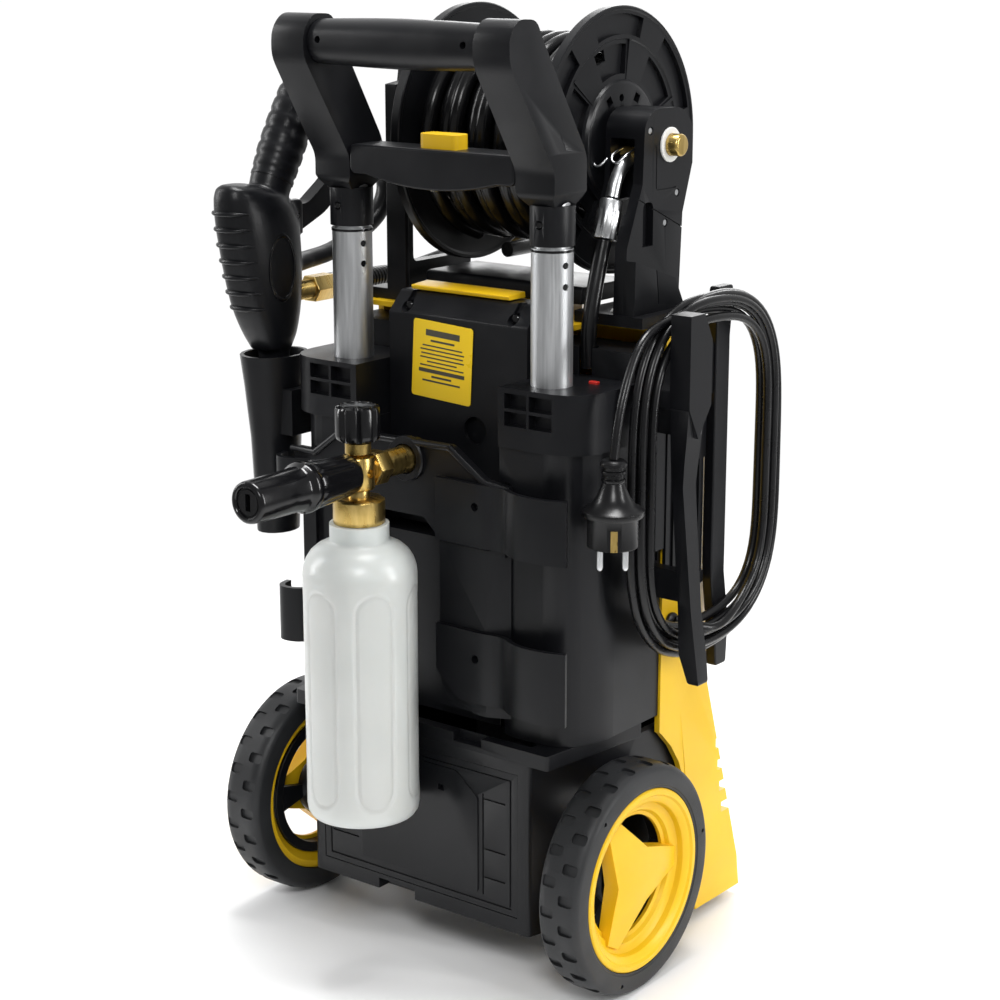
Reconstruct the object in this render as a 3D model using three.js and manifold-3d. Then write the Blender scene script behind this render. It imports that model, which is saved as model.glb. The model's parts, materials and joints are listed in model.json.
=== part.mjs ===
// Upright electric pressure washer with hose reel, telescopic handle, spray gun and foam lance.
// Millimetres, +Z up. X = right as seen from the rear, Y = towards the front, Z = 0 on the floor.
// The rear, with the handle and the foam bottle, faces -Y. These axes are the machine's own: one
// shift at the end puts the middle of its footprint on the origin.
import * as THREE from 'three';
import { mergeVertices } from 'three/addons/utils/BufferGeometryUtils.js';
import Module from 'manifold-3d';

const wasm = await Module();
wasm.setup();

// ---------- driving dimensions ----------
const GAP = 0.35;                    // clearance between touching pieces
const CENTRE_X = -5.56;              // middle of the whole machine, moved to the origin
const CENTRE_Y = -72;

const WHEEL = { r: 93, rim: 74, inner: 146, outer: 183, y: -73, axle: 6 };
const TUBE = { x: 99, y: -85, r: 16, wall: 2, bottom: 340, top: 582, inner: 13.6 };
const HANDLE = { gripY: -137, gripZ: 729, gripR: 18.5, armIn: 81, armOut: 117, sleeveR: 17.2 };
const SLEEVE = { bottom: 584, top: 613 };
const CROSSBAR = { rear: -108, front: -74, bottom: 619, top: 650 };
const BUTTON = { half: 18, rear: -99, front: -81, bottom: 644, top: 661, pocket: 630,
  seat: 656 };
const REEL = { y: 38, z: 650, flangeR: 104, coreR: 38, coilR: 88, inner: 66, outer: 74, stubR: 9 };
const BRACKET_R = { inner: 84, outer: 120 };
const BRACKET_L = { inner: -100, outer: -112 };
const BODY = { side: 144, shoulderSide: 148, shoulderRear: -115, deck: 515, wall: 4 };
const BASE = { half: 112, side: 138, rear: -129, bottom: 45, ledge: 200 };
const LANCE = { x: -16, y: -176, z: 411, bottleR: 44.3, bottleBottom: 135, nozzleTip: -298 };
const GUN = { x: -178, half: 22, barrelY: -95 };
const TRIGGER = { y: -74, z: 584, half: 6, pinR: 1.7 };
const HOOK = { root: 146.35, prong: 156, bar: 174, tip: 191.87 };
const CORD = { r: 3.5, coilIn: 156.5, coilOut: 173.6 };
const HOSE_R = 6.3;
const FEED = { x: 98, y: -35 };
const INLET = { x: 62, z: 118, r: 14 };

// ---------- solids ----------
const rad = THREE.MathUtils.degToRad;

function solid(geometry) {
  const bare = geometry.clone();
  bare.deleteAttribute('normal');
  bare.deleteAttribute('uv');
  const merged = mergeVertices(bare, 1e-4);
  const index = merged.index.array;
  const make = (order) => {
    const tris = [];
    for (let i = 0; i < index.length; i += 3) {
      const t = order.map((k) => index[i + k]);
      if (t[0] !== t[1] && t[1] !== t[2] && t[2] !== t[0]) tris.push(...t);
    }
    return new wasm.Manifold(new wasm.Mesh({
      numProp: 3,
      vertProperties: new Float32Array(merged.attributes.position.array),
      triVerts: new Uint32Array(tris),
    }));
  };
  const body = make([0, 1, 2]);
  return body.volume() < 0 ? make([0, 2, 1]) : body;
}

// A closed outline from [a, b] or [a, b, cornerRadius] points. A corner takes up at most
// 48 percent of the shorter edge beside it.
function outline(points) {
  const shape = new THREE.Shape();
  const at = (i) => new THREE.Vector2(...points.at(i % points.length).slice(0, 2));
  points.forEach(([a, b, wanted = 0], i) => {
    const corner = new THREE.Vector2(a, b);
    const before = at(i + points.length - 1).sub(corner);
    const after = at(i + 1).sub(corner);
    const r = Math.min(wanted, 0.48 * before.length(), 0.48 * after.length());
    const start = before.setLength(r).add(corner);
    const end = after.setLength(r).add(corner);
    if (i === 0) shape.moveTo(start.x, start.y);
    else shape.lineTo(start.x, start.y);
    if (r > 0) shape.quadraticCurveTo(a, b, end.x, end.y);
  });
  shape.closePath();
  return shape;
}

// Turns a shape drawn flat into place: 'x' takes (y, z) outlines, 'y' (x, z) and 'z' (x, y).
function placed(geometry, axis, from, to) {
  if (axis === 'x') {
    geometry.applyMatrix4(new THREE.Matrix4().set(0, 0, 1, from, 1, 0, 0, 0, 0, 1, 0, 0, 0, 0, 0, 1));
  } else if (axis === 'y') {
    geometry.applyMatrix4(new THREE.Matrix4().set(1, 0, 0, 0, 0, 0, -1, to, 0, 1, 0, 0, 0, 0, 0, 1));
  } else {
    geometry.translate(0, 0, from);
  }
  return geometry;
}

function prism(axis, points, from, to, curveSegments = 4) {
  const depth = to - from;
  const shape = points instanceof THREE.Shape ? points : outline(points);
  const options = { depth, bevelEnabled: false, curveSegments };
  return solid(placed(new THREE.ExtrudeGeometry(shape, options), axis, from, to));
}

function box(x0, x1, y0, y1, z0, z1) {
  const g = new THREE.BoxGeometry(x1 - x0, y1 - y0, z1 - z0);
  return solid(g.translate((x0 + x1) / 2, (y0 + y1) / 2, (z0 + z1) / 2));
}

// A turned piece: profile of [radius, height] points, closed on the axis or on itself.
function turned(profile, segments = 18, axis = 'z') {
  const points = profile.map(([r, h]) => new THREE.Vector2(r, h));
  const g = new THREE.LatheGeometry(points, segments);
  g.rotateX(Math.PI / 2);
  if (axis === 'x') g.rotateY(Math.PI / 2);
  if (axis === 'y') g.rotateX(-Math.PI / 2);
  return solid(g);
}

const disc = (r, from, to) => [[0, from], [r, from], [r, to], [0, to]];
const ring = (inner, outer, from, to) => [
  [inner, from], [outer, from], [outer, to], [inner, to], [inner, from]];

function rod(axis, r, from, to, a, b, segments = 18) {
  const body = turned(disc(r, from, to), segments, axis);
  const shift = { x: [0, a, b], y: [a, 0, b], z: [a, b, 0] }[axis];
  return body.translate(shift);
}

// A solid round tube along a smooth route.
function tube(points, r, steps, sides = 10) {
  const path = new THREE.CatmullRomCurve3(points.map((p) => new THREE.Vector3(...p)), false, 'centripetal');
  const section = new THREE.Shape();
  section.absarc(0, 0, r, 0, 2 * Math.PI);
  const options = { steps, extrudePath: path, curveSegments: sides / 2 };
  return solid(new THREE.ExtrudeGeometry(section, options));
}

const joined = (...bodies) => bodies.reduce((a, b) => a.add(b));
const without = (body, ...tools) => tools.reduce((a, b) => a.subtract(b), body);
const mirrored = (body) => body.scale([-1, 1, 1]);

// ---------- materials and the scene ----------
const PAINT = {
  black: { color: 0x1b1c1e, roughness: 0.6, metalness: 0 },
  gloss: { color: 0x101113, roughness: 0.25, metalness: 0 },
  yellow: { color: 0xf5bd16, roughness: 0.4, metalness: 0 },
  rubber: { color: 0x202124, roughness: 0.85, metalness: 0 },
  hose: { color: 0x0c0c0d, roughness: 0.3, metalness: 0 },
  aluminium: { color: 0xc4c7ca, roughness: 0.35, metalness: 0.9 },
  brass: { color: 0xc9963a, roughness: 0.3, metalness: 1 },
  steel: { color: 0xb9bcc0, roughness: 0.35, metalness: 1 },
  milky: { color: 0xdfe8ea, roughness: 0.4, metalness: 0 },
  grey: { color: 0x6d7075, roughness: 0.5, metalness: 0.4 },
};

const group = new THREE.Group();
const machine = new THREE.Group();
machine.position.set(-CENTRE_X, -CENTRE_Y, 0);
group.add(machine);

function add(name, paint, body, parent = machine) {
  const mesh = body.getMesh();
  const geometry = new THREE.BufferGeometry();
  geometry.setAttribute('position', new THREE.Float32BufferAttribute(mesh.vertProperties, 3));
  geometry.setIndex(new THREE.Uint32BufferAttribute(mesh.triVerts, 1));
  const node = new THREE.Mesh(geometry, new THREE.MeshStandardMaterial(PAINT[paint]));
  node.name = name;
  parent.add(node);
  return node;
}

// ---------- base, wheels and feet ----------
function baseFrame() {
  const { half, side, rear, bottom, ledge } = BASE;
  const plan = [[-half, rear, 4], [half, rear, 4], [side, -20], [side, 50], [112, 88], [-112, 88],
    [-side, 50], [-side, -20]];
  const tray = prism('z', plan, bottom, ledge - 12);
  const rim = [[-130, rear - 1, 3], [130, rear - 1, 3], [143, -22], [-143, -22]];
  const shelf = prism('z', rim, ledge - 12, ledge);
  const hollow = prism('z', [[-107, rear + 9], [107, rear + 9], [side - 6, -18], [side - 6, 47],
    [109, 83], [-109, 83], [6 - side, 47], [6 - side, -18]], bottom + 5, ledge + 1);
  const axleHole = rod('x', WHEEL.axle + 0.3, -150, 150, WHEEL.y, WHEEL.r);
  const panelSeat = box(-101, 101, rear - 1, rear + 4, 58, 178);
  const notch = box(-42, -4, rear - 2, rear + 12, bottom - 1, bottom + 9);
  const ledgeNotch = box(38, 66, rear - 2, rear + 8, ledge - 7, ledge + 1);
  const boss = rod('x', 14, 118, WHEEL.inner - 1, WHEEL.y, WHEEL.r);
  const inlet = rod('y', INLET.r + 0.6, 70, 100, INLET.x, 0).translate([0, 0, INLET.z]);
  const wheelWell = rod('x', WHEEL.r + 5, 139, 160, WHEEL.y, WHEEL.r, 28);
  const cleared = without(shelf, wheelWell, mirrored(wheelWell));
  return without(joined(tray, cleared, boss, mirrored(boss)), hollow, axleHole, panelSeat, notch,
    ledgeNotch, inlet);
}

function lowerRearCover() {
  const { rear } = BASE;
  const plate = box(-101 + GAP, 101 - GAP, rear + 0.5, rear + 3.6, 58 + GAP, 178 - GAP);
  const panel = prism('y', [[-60, 70, 3], [62, 70, 3], [62, 150, 3], [40, 168, 3], [-60, 168, 3]],
    rear - 0.8, rear + 1);
  const keyhole = box(22, 28, rear - 2, rear + 5, 148, 153);
  return without(joined(plate, panel), keyhole);
}

function tyre() {
  const { r, rim, inner, outer } = WHEEL;
  const w = outer - inner;
  const profile = [[rim, 0], [r - 5, 0], [r - 1, 4], [r, 9], [r, w - 9], [r - 1, w - 4], [r - 5, w],
    [rim, w], [rim, 0]];
  return turned(profile, 28, 'x');
}

function rim() {
  const { inner, outer, axle } = WHEEL;
  const w = outer - inner;
  const edge = WHEEL.rim - GAP;
  const band = turned([[edge - 13, 8], [edge - 5, 3], [edge, 3], [edge, w - 2], [edge - 6, w - 2],
    [edge - 13, w - 9], [edge - 15, w - 15], [edge - 26, w - 16], [edge - 26, w - 20],
    [edge - 13, w - 20], [edge - 13, 8]], 28, 'x');
  const spoke = (turn) => prism('x', [[-28, -4], [28, -4], [8, 57], [-8, 57]], w - 20, w - 5)
    .rotate([turn, 0, 0]);
  const hub = turned(disc(19, 2, w + 1), 16, 'x');
  const bore = turned(disc(axle + GAP, -1, w - 4), 16, 'x');
  return without(joined(band, hub, spoke(-90), spoke(30), spoke(150)), bore);
}

function wheels() {
  for (const [side, sign] of [['left', -1], ['right', 1]]) {
    const wheel = new THREE.Group();
    wheel.position.set(sign * WHEEL.inner, WHEEL.y, WHEEL.r);
    wheel.rotation.z = sign > 0 ? 0 : Math.PI;
    machine.add(wheel);
    add(`tyre_${side}`, 'rubber', tyre(), wheel);
    add(`rim_${side}`, 'yellow', rim(), wheel);
  }
  const end = WHEEL.outer - 4.5;
  add('axle', 'steel', rod('x', WHEEL.axle, -end, end, WHEEL.y, WHEEL.r));
}

function feet() {
  for (const [side, sign] of [['left', -1], ['right', 1]]) {
    const profile = [[0, 0], [15, 0], [18, 3], [18, BASE.bottom - GAP], [0, BASE.bottom - GAP]];
    const foot = add(`foot_${side}`, 'rubber', turned(profile, 16));
    foot.position.set(sign * 100, 76, 0);
  }
}

// ---------- housings and covers ----------
function rearHousing() {
  const { side, shoulderSide, shoulderRear, wall } = BODY;
  const plan = [[-60, -98], [60, -98], [66, -104, 5], [80, -112, 10], [128, -112, 34], [side, -80, 30],
    [side, -GAP], [-side, -GAP], [-side, -80, 30], [-128, -112, 34], [-80, -112, 10], [-66, -104, 5]];
  const lower = prism('z', plan, BASE.ledge + GAP, 405, 5);
  const shoulder = prism('z', [[71, shoulderRear], [shoulderSide, shoulderRear, 36],
    [shoulderSide, -32, 4], [71, -32]], 432, 478, 6);
  const skirt = prism('z', [[70, -112], [128, -112, 34], [side, -80, 20], [side, -30], [70, -30]],
    404, 433, 5);
  const deck = box(-side, side, -40, -GAP, 404, 500);
  const windows = [];
  for (const x of [77, 100]) {
    windows.push(box(x, x + 20.6, shoulderRear - 1, shoulderRear + 8, 449, 460));
    windows.push(box(x, x + 20.6, shoulderRear - 1, shoulderRear + 8, 462.4, 474));
  }
  const bore = rod('z', TUBE.r + GAP, TUBE.bottom - 5, 490, TUBE.x, TUBE.y, 32);
  const feedHole = rod('z', HOSE_R + 1.6, 478, 520, FEED.x, FEED.y, 16);
  const right = without(joined(shoulder, skirt), ...windows);
  const bed = box(-70, 70, -120, -40, 345, 406);
  const column = prism('z', [[63, -107], [120, -107, 28], [side - wall, -78, 26], [side - wall, -30],
    [63, -30]], BASE.ledge - 1, TUBE.bottom - 9);
  const hollow = joined(box(-58, 58, -94, 1, BASE.ledge - 1, 341),
    box(wall - side, side - wall, -36, 1, BASE.ledge - 1, 496), column, mirrored(column));
  const rib = prism('z', [[26, -90], [30, -110, 2], [68, -110, 2], [92, -92]], 214, 344);
  const socket = rod('y', 12, -120, -95, LANCE.x, 0).translate([0, 0, LANCE.z]);
  const shell = without(joined(lower, right, mirrored(right), deck), bed, hollow);
  const louvres = [];
  for (let k = 0; k < 5; k += 1) {
    const y = -34 + k * 6.5;
    louvres.push(box(side - wall - 1, side + 1, y, y + 3, 330, 395));
  }
  return without(joined(shell, rib), bore, mirrored(bore), feedHole, socket, ...louvres);
}

function frontCover() {
  const sideView = [[0, BODY.deck - 4], [-38, BODY.deck - 4], [-38, BODY.deck], [66, BODY.deck, 18],
    [96, 440, 20], [116, 300, 30], [122, 190, 30], [146, 60, 10], [146, 10], [0, 10]];
  const planView = [[-138, -45], [84, -45], [84, -2], [146, -2], [146, 60, 40], [112, 128, 60],
    [40, 147, 60], [-40, 147, 60], [-112, 128, 60], [-146, 60, 40], [-146, -2], [-138, -2]];
  const outer = prism('x', sideView, -160, 160).intersect(prism('z', planView, 0, 560));
  const tongue = prism('z', [[-62, -38], [62, -38], [48, 30, 10], [-48, 30, 10]], BODY.deck - 2, 526);
  const skirt = prism('x', [[20, 260], [60, 240], [84, 165], [124, 38], [128, 10], [60, 10]], -146, 146);
  const inside = [[-60, BODY.deck - 5], [62, BODY.deck - 5, 14], [90, 438, 20], [110, 300, 30],
    [116, 190, 30], [139, 60, 10], [139, -5], [-60, -5]];
  const insidePlan = [[-140, -80], [140, -80], [140, 58, 36], [108, 122, 56], [38, 141, 56],
    [-38, 141, 56], [-108, 122, 56], [-140, 58, 36]];
  const hollow = prism('x', inside, -160, 160).intersect(prism('z', insidePlan, -20, 560));
  const skirtHollow = prism('x', [[-10, 252], [57, 236], [78, 162], [118, 36], [119, -5], [-10, -5]],
    -141, 141);
  const arch = rod('x', 118, -160, 160, WHEEL.y, WHEEL.r, 36);
  const rearCut = box(-160, 160, -80, 0, -1, BODY.deck - 6);
  const floorCut = box(-100, 100, 60, 139, 0, 12);
  const teeth = [];
  for (let k = 0; k < 4; k += 1) {
    const z = 86 + k * 20;
    for (const x of [-150, 138]) teeth.push(box(x, x + 12, 112 - z * 0.18, 140, z, z + 9));
  }
  const vents = [];
  for (let k = 0; k < 7; k += 1) {
    const z = 236 + k * 13;
    vents.push(box(-46, 46, 60, 160, z, z + 6));
  }
  const knobHole = rod('y', 8, 60, 160, 0, 0, 16).translate([0, 0, 410]);
  const inletHole = rod('y', INLET.r + 0.6, 90, 160, INLET.x, 0, 20).translate([0, 0, INLET.z]);
  return without(joined(outer, tongue, skirt), hollow, skirtHollow, arch, rearCut, floorCut,
    ...teeth, ...vents, knobHole, inletHole);
}

function rearCover() {
  const half = 69;
  const profile = [[-76, 347], [-76, 516, 2], [-60, 532, 2], [-41, 532], [-41, 347]];
  const shell = prism('x', profile, -half, half);
  const hollow = box(-half + 3, half - 3, -73, -30, 350, 512);
  const screw = (x) => rod('y', 4, -80, -62, x, 0, 12).translate([0, 0, 521]);
  const hole = rod('y', 11, -80, -60, 18, 0, 20).translate([0, 0, 430]);
  return without(shell, hollow, screw(-54), screw(52), hole);
}

function accessoryBracket() {
  const face = -118;
  const centre = prism('y', [[-136, 366], [-136, 404, 3], [-112, 404], [-84, 425, 4], [28, 427, 4],
    [62, 404, 4], [80, 402], [80, 346], [20, 346], [0, 366]], face, face + 5.6);
  const clip = (bottom, top) => prism('z', [[16, face - 5.6], [84, face - 5.6, 4], [98, face - 15.8, 12],
    [132, face - 15.8, 10], [146, face - 8, 2], [144, face - 4, 1], [130, face - 10, 8], [102, face - 10, 10],
    [90, face + 2, 4], [60, face + 5.6], [16, face + 5.6]], bottom, top);
  const leftClip = (bottom, top) => prism('z', [[-118, face + 5.6], [-122, face, 3], [-136, face - 14, 8],
    [-152, face - 12, 8], [-154, face + 8], [-149, face + 8], [-147, face - 6, 5], [-138, face - 7, 5],
    [-130, face + 5.6, 3]], bottom, top);
  const strip = prism('z', [[16, face + 5.6], [17, face - 1.6], [64, face - 2.6], [82, face + 5.6]],
    215, 350);
  const leftStrip = box(-130, -116, face + 2, face + 5.6, 215, 370);
  const socket = rod('y', 18, face - 4, face + 2, LANCE.x, 0).translate([0, 0, LANCE.z]);
  const bore = rod('y', 12, face - 6, face + 8, LANCE.x, 0).translate([0, 0, LANCE.z]);
  const screws = [384, 262].map((z) => rod('y', 3, face - 8, face, 56, 0, 10).translate([0, 0, z]));
  const body = joined(centre, clip(352, 402), clip(226, 284), strip, leftStrip, leftClip(240, 286),
    leftClip(366, 396), socket);
  return without(body, bore, ...screws);
}

function ratingLabel() {
  const label = outline([[-30, 0, 3], [30, 0, 3], [30, 62, 3], [-30, 62, 3]]);
  const body = prism('y', label, -76 - GAP - 0.5, -76 - GAP).rotate([0, 3, 0]);
  return body.translate([-16, 0, 450]);
}

// ---------- telescopic handle ----------
function outerTube(x) {
  const { y, r, wall, bottom, top } = TUBE;
  const wallRing = turned(ring(r - wall, r, bottom, top), 24).translate([x, y, 0]);
  const holes = [572, 556].map((z) => rod('x', 2, x, x + 20, y, z, 10));
  return without(wallRing, ...holes);
}

function innerTube(x) {
  return turned(ring(TUBE.inner - 1.6, TUBE.inner, TUBE.bottom + 5, 636), 20).translate([x, TUBE.y, 0]);
}

function handleArm() {
  const { armIn, armOut, sleeveR } = HANDLE;
  const profile = [[-74, SLEEVE.top], [-67, 621, 4], [-67, 650, 8], [-118, 736, 6], [-124, 749, 8],
    [-146, 750, 12], [-157, 738, 8], [-157, 718, 8], [-107, 640, 6], [-107, 621, 4], [-98, SLEEVE.top]];
  const arm = prism('x', profile, armIn, armOut);
  const rearView = prism('y', [[armIn + 6, SLEEVE.top], [armOut - 6, SLEEVE.top], [armOut, 624],
    [armOut, 652], [armOut - 4, 752], [armIn, 752], [armIn, 624]], -200, 0);
  const cap = arm.intersect(rearView);
  const sleeve = rod('z', sleeveR, SLEEVE.bottom, SLEEVE.top + 1, TUBE.x, TUBE.y, 24);
  const bore = rod('z', TUBE.inner + GAP, SLEEVE.bottom - 1, 637, TUBE.x, TUBE.y, 20);
  return without(joined(cap, sleeve), bore);
}

function gripBar() {
  const half = HANDLE.armIn - GAP;
  const r = HANDLE.gripR;
  const profile = [[0, -half], [r - 2, -half], [r - 1.5, -half * 0.6], [r, -half * 0.3], [r, half * 0.3],
    [r - 1.5, half * 0.6], [r - 2, half], [0, half]];
  return turned(profile, 24, 'x').translate([0, HANDLE.gripY, HANDLE.gripZ]);
}

function crossbar() {
  const { rear, front, bottom, top } = CROSSBAR;
  const half = HANDLE.armIn - GAP;
  const shape = new THREE.Shape();
  shape.moveTo(-half, top);
  shape.lineTo(-half, bottom + 9);
  shape.quadraticCurveTo(0, bottom - 9, half, bottom + 9);
  shape.lineTo(half, top);
  shape.closePath();
  const bar = prism('y', shape, rear, front, 10);
  const { half: b, rear: y0, front: y1, pocket } = BUTTON;
  return without(bar, box(-b - GAP, b + GAP, y0 - GAP, y1 + GAP, pocket, top + 1));
}

function releaseButton() {
  const { half, rear, front, bottom, top, seat } = BUTTON;
  const outlinePoints = [[-half, rear, 4], [half, rear, 4], [half, front, 4], [-half, front, 4]];
  const body = prism('z', outlinePoints, bottom, top);
  return without(body, rod('z', 6.5, bottom - 1, seat, 0, (rear + front) / 2, 16));
}

function releaseSpring() {
  const { rear, front, pocket, seat } = BUTTON;
  const turns = 5;
  const wire = 0.6;
  const coilR = 4.6;
  const low = pocket + wire + GAP;
  const high = seat - wire - GAP;
  const points = [];
  for (let k = 0; k <= turns * 8; k += 1) {
    const a = rad(k * 45);
    const z = low + (high - low) * k / (turns * 8);
    points.push([coilR * Math.cos(a), (rear + front) / 2 + coilR * Math.sin(a), z]);
  }
  return tube(points, wire, turns * 7, 6);
}

// ---------- hose reel ----------
function reelFlange() {
  const { flangeR, inner, outer, stubR } = REEL;
  const plate = turned([[stubR + GAP, inner + 1], [flangeR - 6, inner + 3], [flangeR - 4, inner],
    [flangeR, inner], [flangeR, outer], [flangeR - 4, outer], [34, outer], [34, outer + 3],
    [stubR + GAP, outer + 3], [stubR + GAP, inner + 1]], 28, 'x');
  const cuts = [];
  for (let k = 0; k < 4; k += 1) {
    const window = prism('x', [[-9, 64], [9, 64], [12, 84], [-12, 84]], 60, 80);
    cuts.push(window.rotate([20 + k * 90, 0, 0]));
  }
  return without(plate, ...cuts);
}

function reelCore() {
  const { coreR, inner, stubR } = REEL;
  const end = inner + 1 - GAP;
  return turned([[0, -117.6], [stubR, -117.6], [stubR, -end], [coreR, -end], [coreR, end], [stubR, end],
    [stubR, 98], [0, 98]], 20, 'x');
}

function crankArm() {
  const arm = prism('x', [[-11, -12, 5], [11, -12, 5], [9, 68, 8], [-9, 68, 8]], -126, -118);
  return without(arm, rod('x', 4.4, -130, -110, 0, 60, 16));
}

function crankGrip() {
  const pin = turned(disc(4, -126.5, -118.5), 16, 'x');
  const knob = turned([[0, -151], [9, -151], [11, -148], [10, -138], [11, -129], [8, -126.3],
    [0, -126.3]], 20, 'x');
  return joined(knob, pin).translate([0, 0, 60]);
}

function reel() {
  const drum = new THREE.Group();
  drum.position.set(0, REEL.y, REEL.z);
  machine.add(drum);
  const flange = reelFlange();
  add('reel_flange_right', 'black', flange, drum);
  add('reel_flange_left', 'black', mirrored(flange), drum);
  add('reel_core', 'black', reelCore(), drum);
  const coil = turned(ring(REEL.coreR + GAP, REEL.coilR, -REEL.inner + 1, REEL.inner - 1), 28, 'x');
  add('reel_hose_coil', 'hose', coil, drum);
  add('crank_arm', 'black', crankArm(), drum);
  add('crank_grip', 'black', crankGrip(), drum);
}

function reelBracketRight() {
  const { inner, outer } = BRACKET_R;
  const profile = [[-20, 516], [-18, 575], [2, 622], [4, 668, 8], [16, 678, 8], [56, 678, 10],
    [71, 664, 10], [71, 634], [58, 596], [54, 516]];
  const body = prism('x', profile, inner, outer);
  const foot = box(inner - 10, outer + 18, -22, 60, BODY.deck + GAP, 524);
  const recess = box(inner - 1, 109, -40, 55, 524, 608);
  const spur = prism('x', [[-20, 520], [-19, 566], [36, 548], [52, 520]], outer - 1, outer + 9);
  const slot = box(inner + 5, outer - 9, -30, 26, 600, 656);
  const side = prism('x', [[3, 574], [17, 574], [17, 608, 6], [3, 608, 6]], outer - 6, outer + 2);
  const stub = rod('x', REEL.stubR + 0.4, inner - 1, 100, REEL.y, REEL.z, 20);
  return without(joined(body, foot, spur), recess, slot, side, stub);
}

function reelBracketLeft() {
  const { inner, outer } = BRACKET_L;
  const profile = [[-28, 516], [-28, 690], [-13, 692], [-11, 704, 3], [48, 704, 10], [68, 684, 10],
    [68, 516]];
  const plate = prism('x', profile, outer, inner);
  const foot = box(outer - 20, inner + 14, -28, 68, BODY.deck + GAP, 524);
  const rib = box(inner - 1, inner + 8, -28, -23, 520, 684);
  const hole = rod('x', REEL.stubR + 0.4, outer - 2, inner + 2, REEL.y, REEL.z, 20);
  const window = prism('x', [[-8, 545, 6], [50, 545, 6], [50, 600, 6], [-8, 600, 6]], outer - 1, inner + 1);
  return without(joined(plate, foot, rib), hole, window);
}

function swivelCap() {
  return turned([[0, 120.4], [12, 120.4], [12, 122.4], [8.6, 122.4], [8.6, 131], [7.4, 132.5],
    [0, 132.5]], 20, 'x').translate([0, REEL.y, REEL.z]);
}

const PIPE_ROUTE = [[24, 640], [14, 639], [4, 632], [-3, 622], [-7, 611.6]]
  .map(([y, z]) => [FEED.x, y, z]);
const FEED_ROUTE = [[-17.3, 579.5], [-25, 556], [-32, 532], [-36, 512], [-36, 498], [FEED.y, 484]]
  .map(([y, z]) => [FEED.x, y, z]);

function ferrule() {
  return turned([[0, 0], [9.4, 0], [9.4, 22], [8.4, 24], [8.4, 31], [0, 31]], 12)
    .rotate([-18, 0, 0]).translate([FEED.x, -17, 580.5]);
}

// ---------- spray gun, holster and hose ----------
function gunBody() {
  const { x, half } = GUN;
  const body = prism('x', [[-116, 476, 8], [-84, 476, 8], [-74, 500, 6], [-72, 536, 6], [-20, 541, 10],
    [40, 566, 12], [56, 598, 14], [44, 624, 12], [-22, 702, 8], [-46, 714, 10], [-66, 700, 10],
    [-92, 656], [-114, 612, 8], [-124, 604, 6], [-138, 613, 8], [-152, 606, 8], [-154, 575, 8],
    [-148, 530, 10], [-136, 500, 10]], x - half, x + half, 3);
  const opening = prism('x', [[-74, 552, 4], [-24, 556, 8], [30, 577, 8], [41, 598, 8], [32, 614, 8],
    [-30, 688, 4], [-46, 668], [-74, 610], [-80, 584]], x - half - 1, x + half + 1, 3);
  const narrow = joined(box(x - half - 1, x - 9, -71, 70, 530, 720),
    box(x + 9, x + half + 1, -71, 70, 530, 720));
  const gripKeep = prism('x', [[-71, 610], [-44, 668], [-28, 692], [-44, 714], [-71, 720]], x - 16, x + 16);
  const barrel = turned([[0, 345], [9, 345], [12, 350], [12, 400], [13, 476.5], [0, 476.5]], 20)
    .translate([x, GUN.barrelY, 0]);
  const shaped = without(body, opening, without(narrow, gripKeep));
  const { y, z, pinR } = TRIGGER;
  const cheeks = joined(box(x - 11, x - 7, y - 10, y + 7, z - 8, z + 8),
    box(x + 7, x + 11, y - 10, y + 7, z - 8, z + 8));
  const pocket = box(x - 7, x + 7, y - 10, y + 14, z - 14, z + 16);
  const pinHole = rod('x', pinR + GAP, x - 12, x + 12, y, z, 10);
  return without(joined(shaped, barrel, cheeks), pocket, pinHole);
}

function gunTrigger() {
  const { x } = GUN;
  const lever = prism('x', [[-82, 578, 3], [-66, 571, 4], [-34, 584, 8], [-12, 604, 8], [2, 634, 6],
    [-8, 640, 4], [-28, 612, 8], [-58, 592, 6], [-76, 594, 4]], x - TRIGGER.half, x + TRIGGER.half, 3);
  return without(lever, rod('x', TRIGGER.pinR + GAP, x - 8, x + 8, TRIGGER.y, TRIGGER.z, 10));
}

function triggerPin() {
  return rod('x', TRIGGER.pinR, GUN.x - 11, GUN.x + 11, TRIGGER.y, TRIGGER.z, 10);
}

function triggerLock() {
  const { x } = GUN;
  return prism('x', [[-32, 677, 3], [-23, 673, 3], [-15, 660, 2], [-20, 656, 2], [-31, 664, 3]],
    x - 4, x + 4, 3);
}

function gunHolster() {
  const { x, barrelY } = GUN;
  const funnel = turned([[27, 0], [24, -26], [20, -70], [17, -150], [14, -150], [17, -70], [21, -26],
    [24, 0], [27, 0]], 18).scale([0.94, 1.16, 1]).translate([x, barrelY, 473]);
  const tab = box(x + 14, -BODY.shoulderSide - GAP, barrelY - 12, barrelY + 12, 408, 446);
  const core = turned([[0, -160], [14, -150], [17, -70], [21, -26], [24, 10], [0, 10]], 18)
    .scale([0.94, 1.16, 1]).translate([x, barrelY, 473]);
  return joined(funnel, without(tab, core));
}

function gunCoupling() {
  const thread = rod('y', 8, -71.6, -50, GUN.x, 0, 20);
  const hex = rod('y', 12, -50.5, -26, GUN.x, 0, 6);
  return joined(thread, hex).translate([0, 0, 520]);
}

function strainRelief() {
  const start = -26 + GAP;
  const profile = [[0, start], [10.5, start], [10.5, 0], [9.6, 20], [8.6, 50], [0, 50]];
  return turned(profile, 20, 'y').translate([GUN.x, 0, 520]);
}

const HOSE_ROUTE = [[-178, 50.4, 520], [-178, 72, 521], [-176, 96, 525], [-168, 122, 531],
  [-152, 143, 538], [-130, 157, 544], [-104, 163, 549], [-78, 158, 552], [-58, 142, 553.5],
  [-46, 118, 554.5], [-40, 90, 555], [-38, 62, 555], [-38, 38, 555]];

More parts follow.
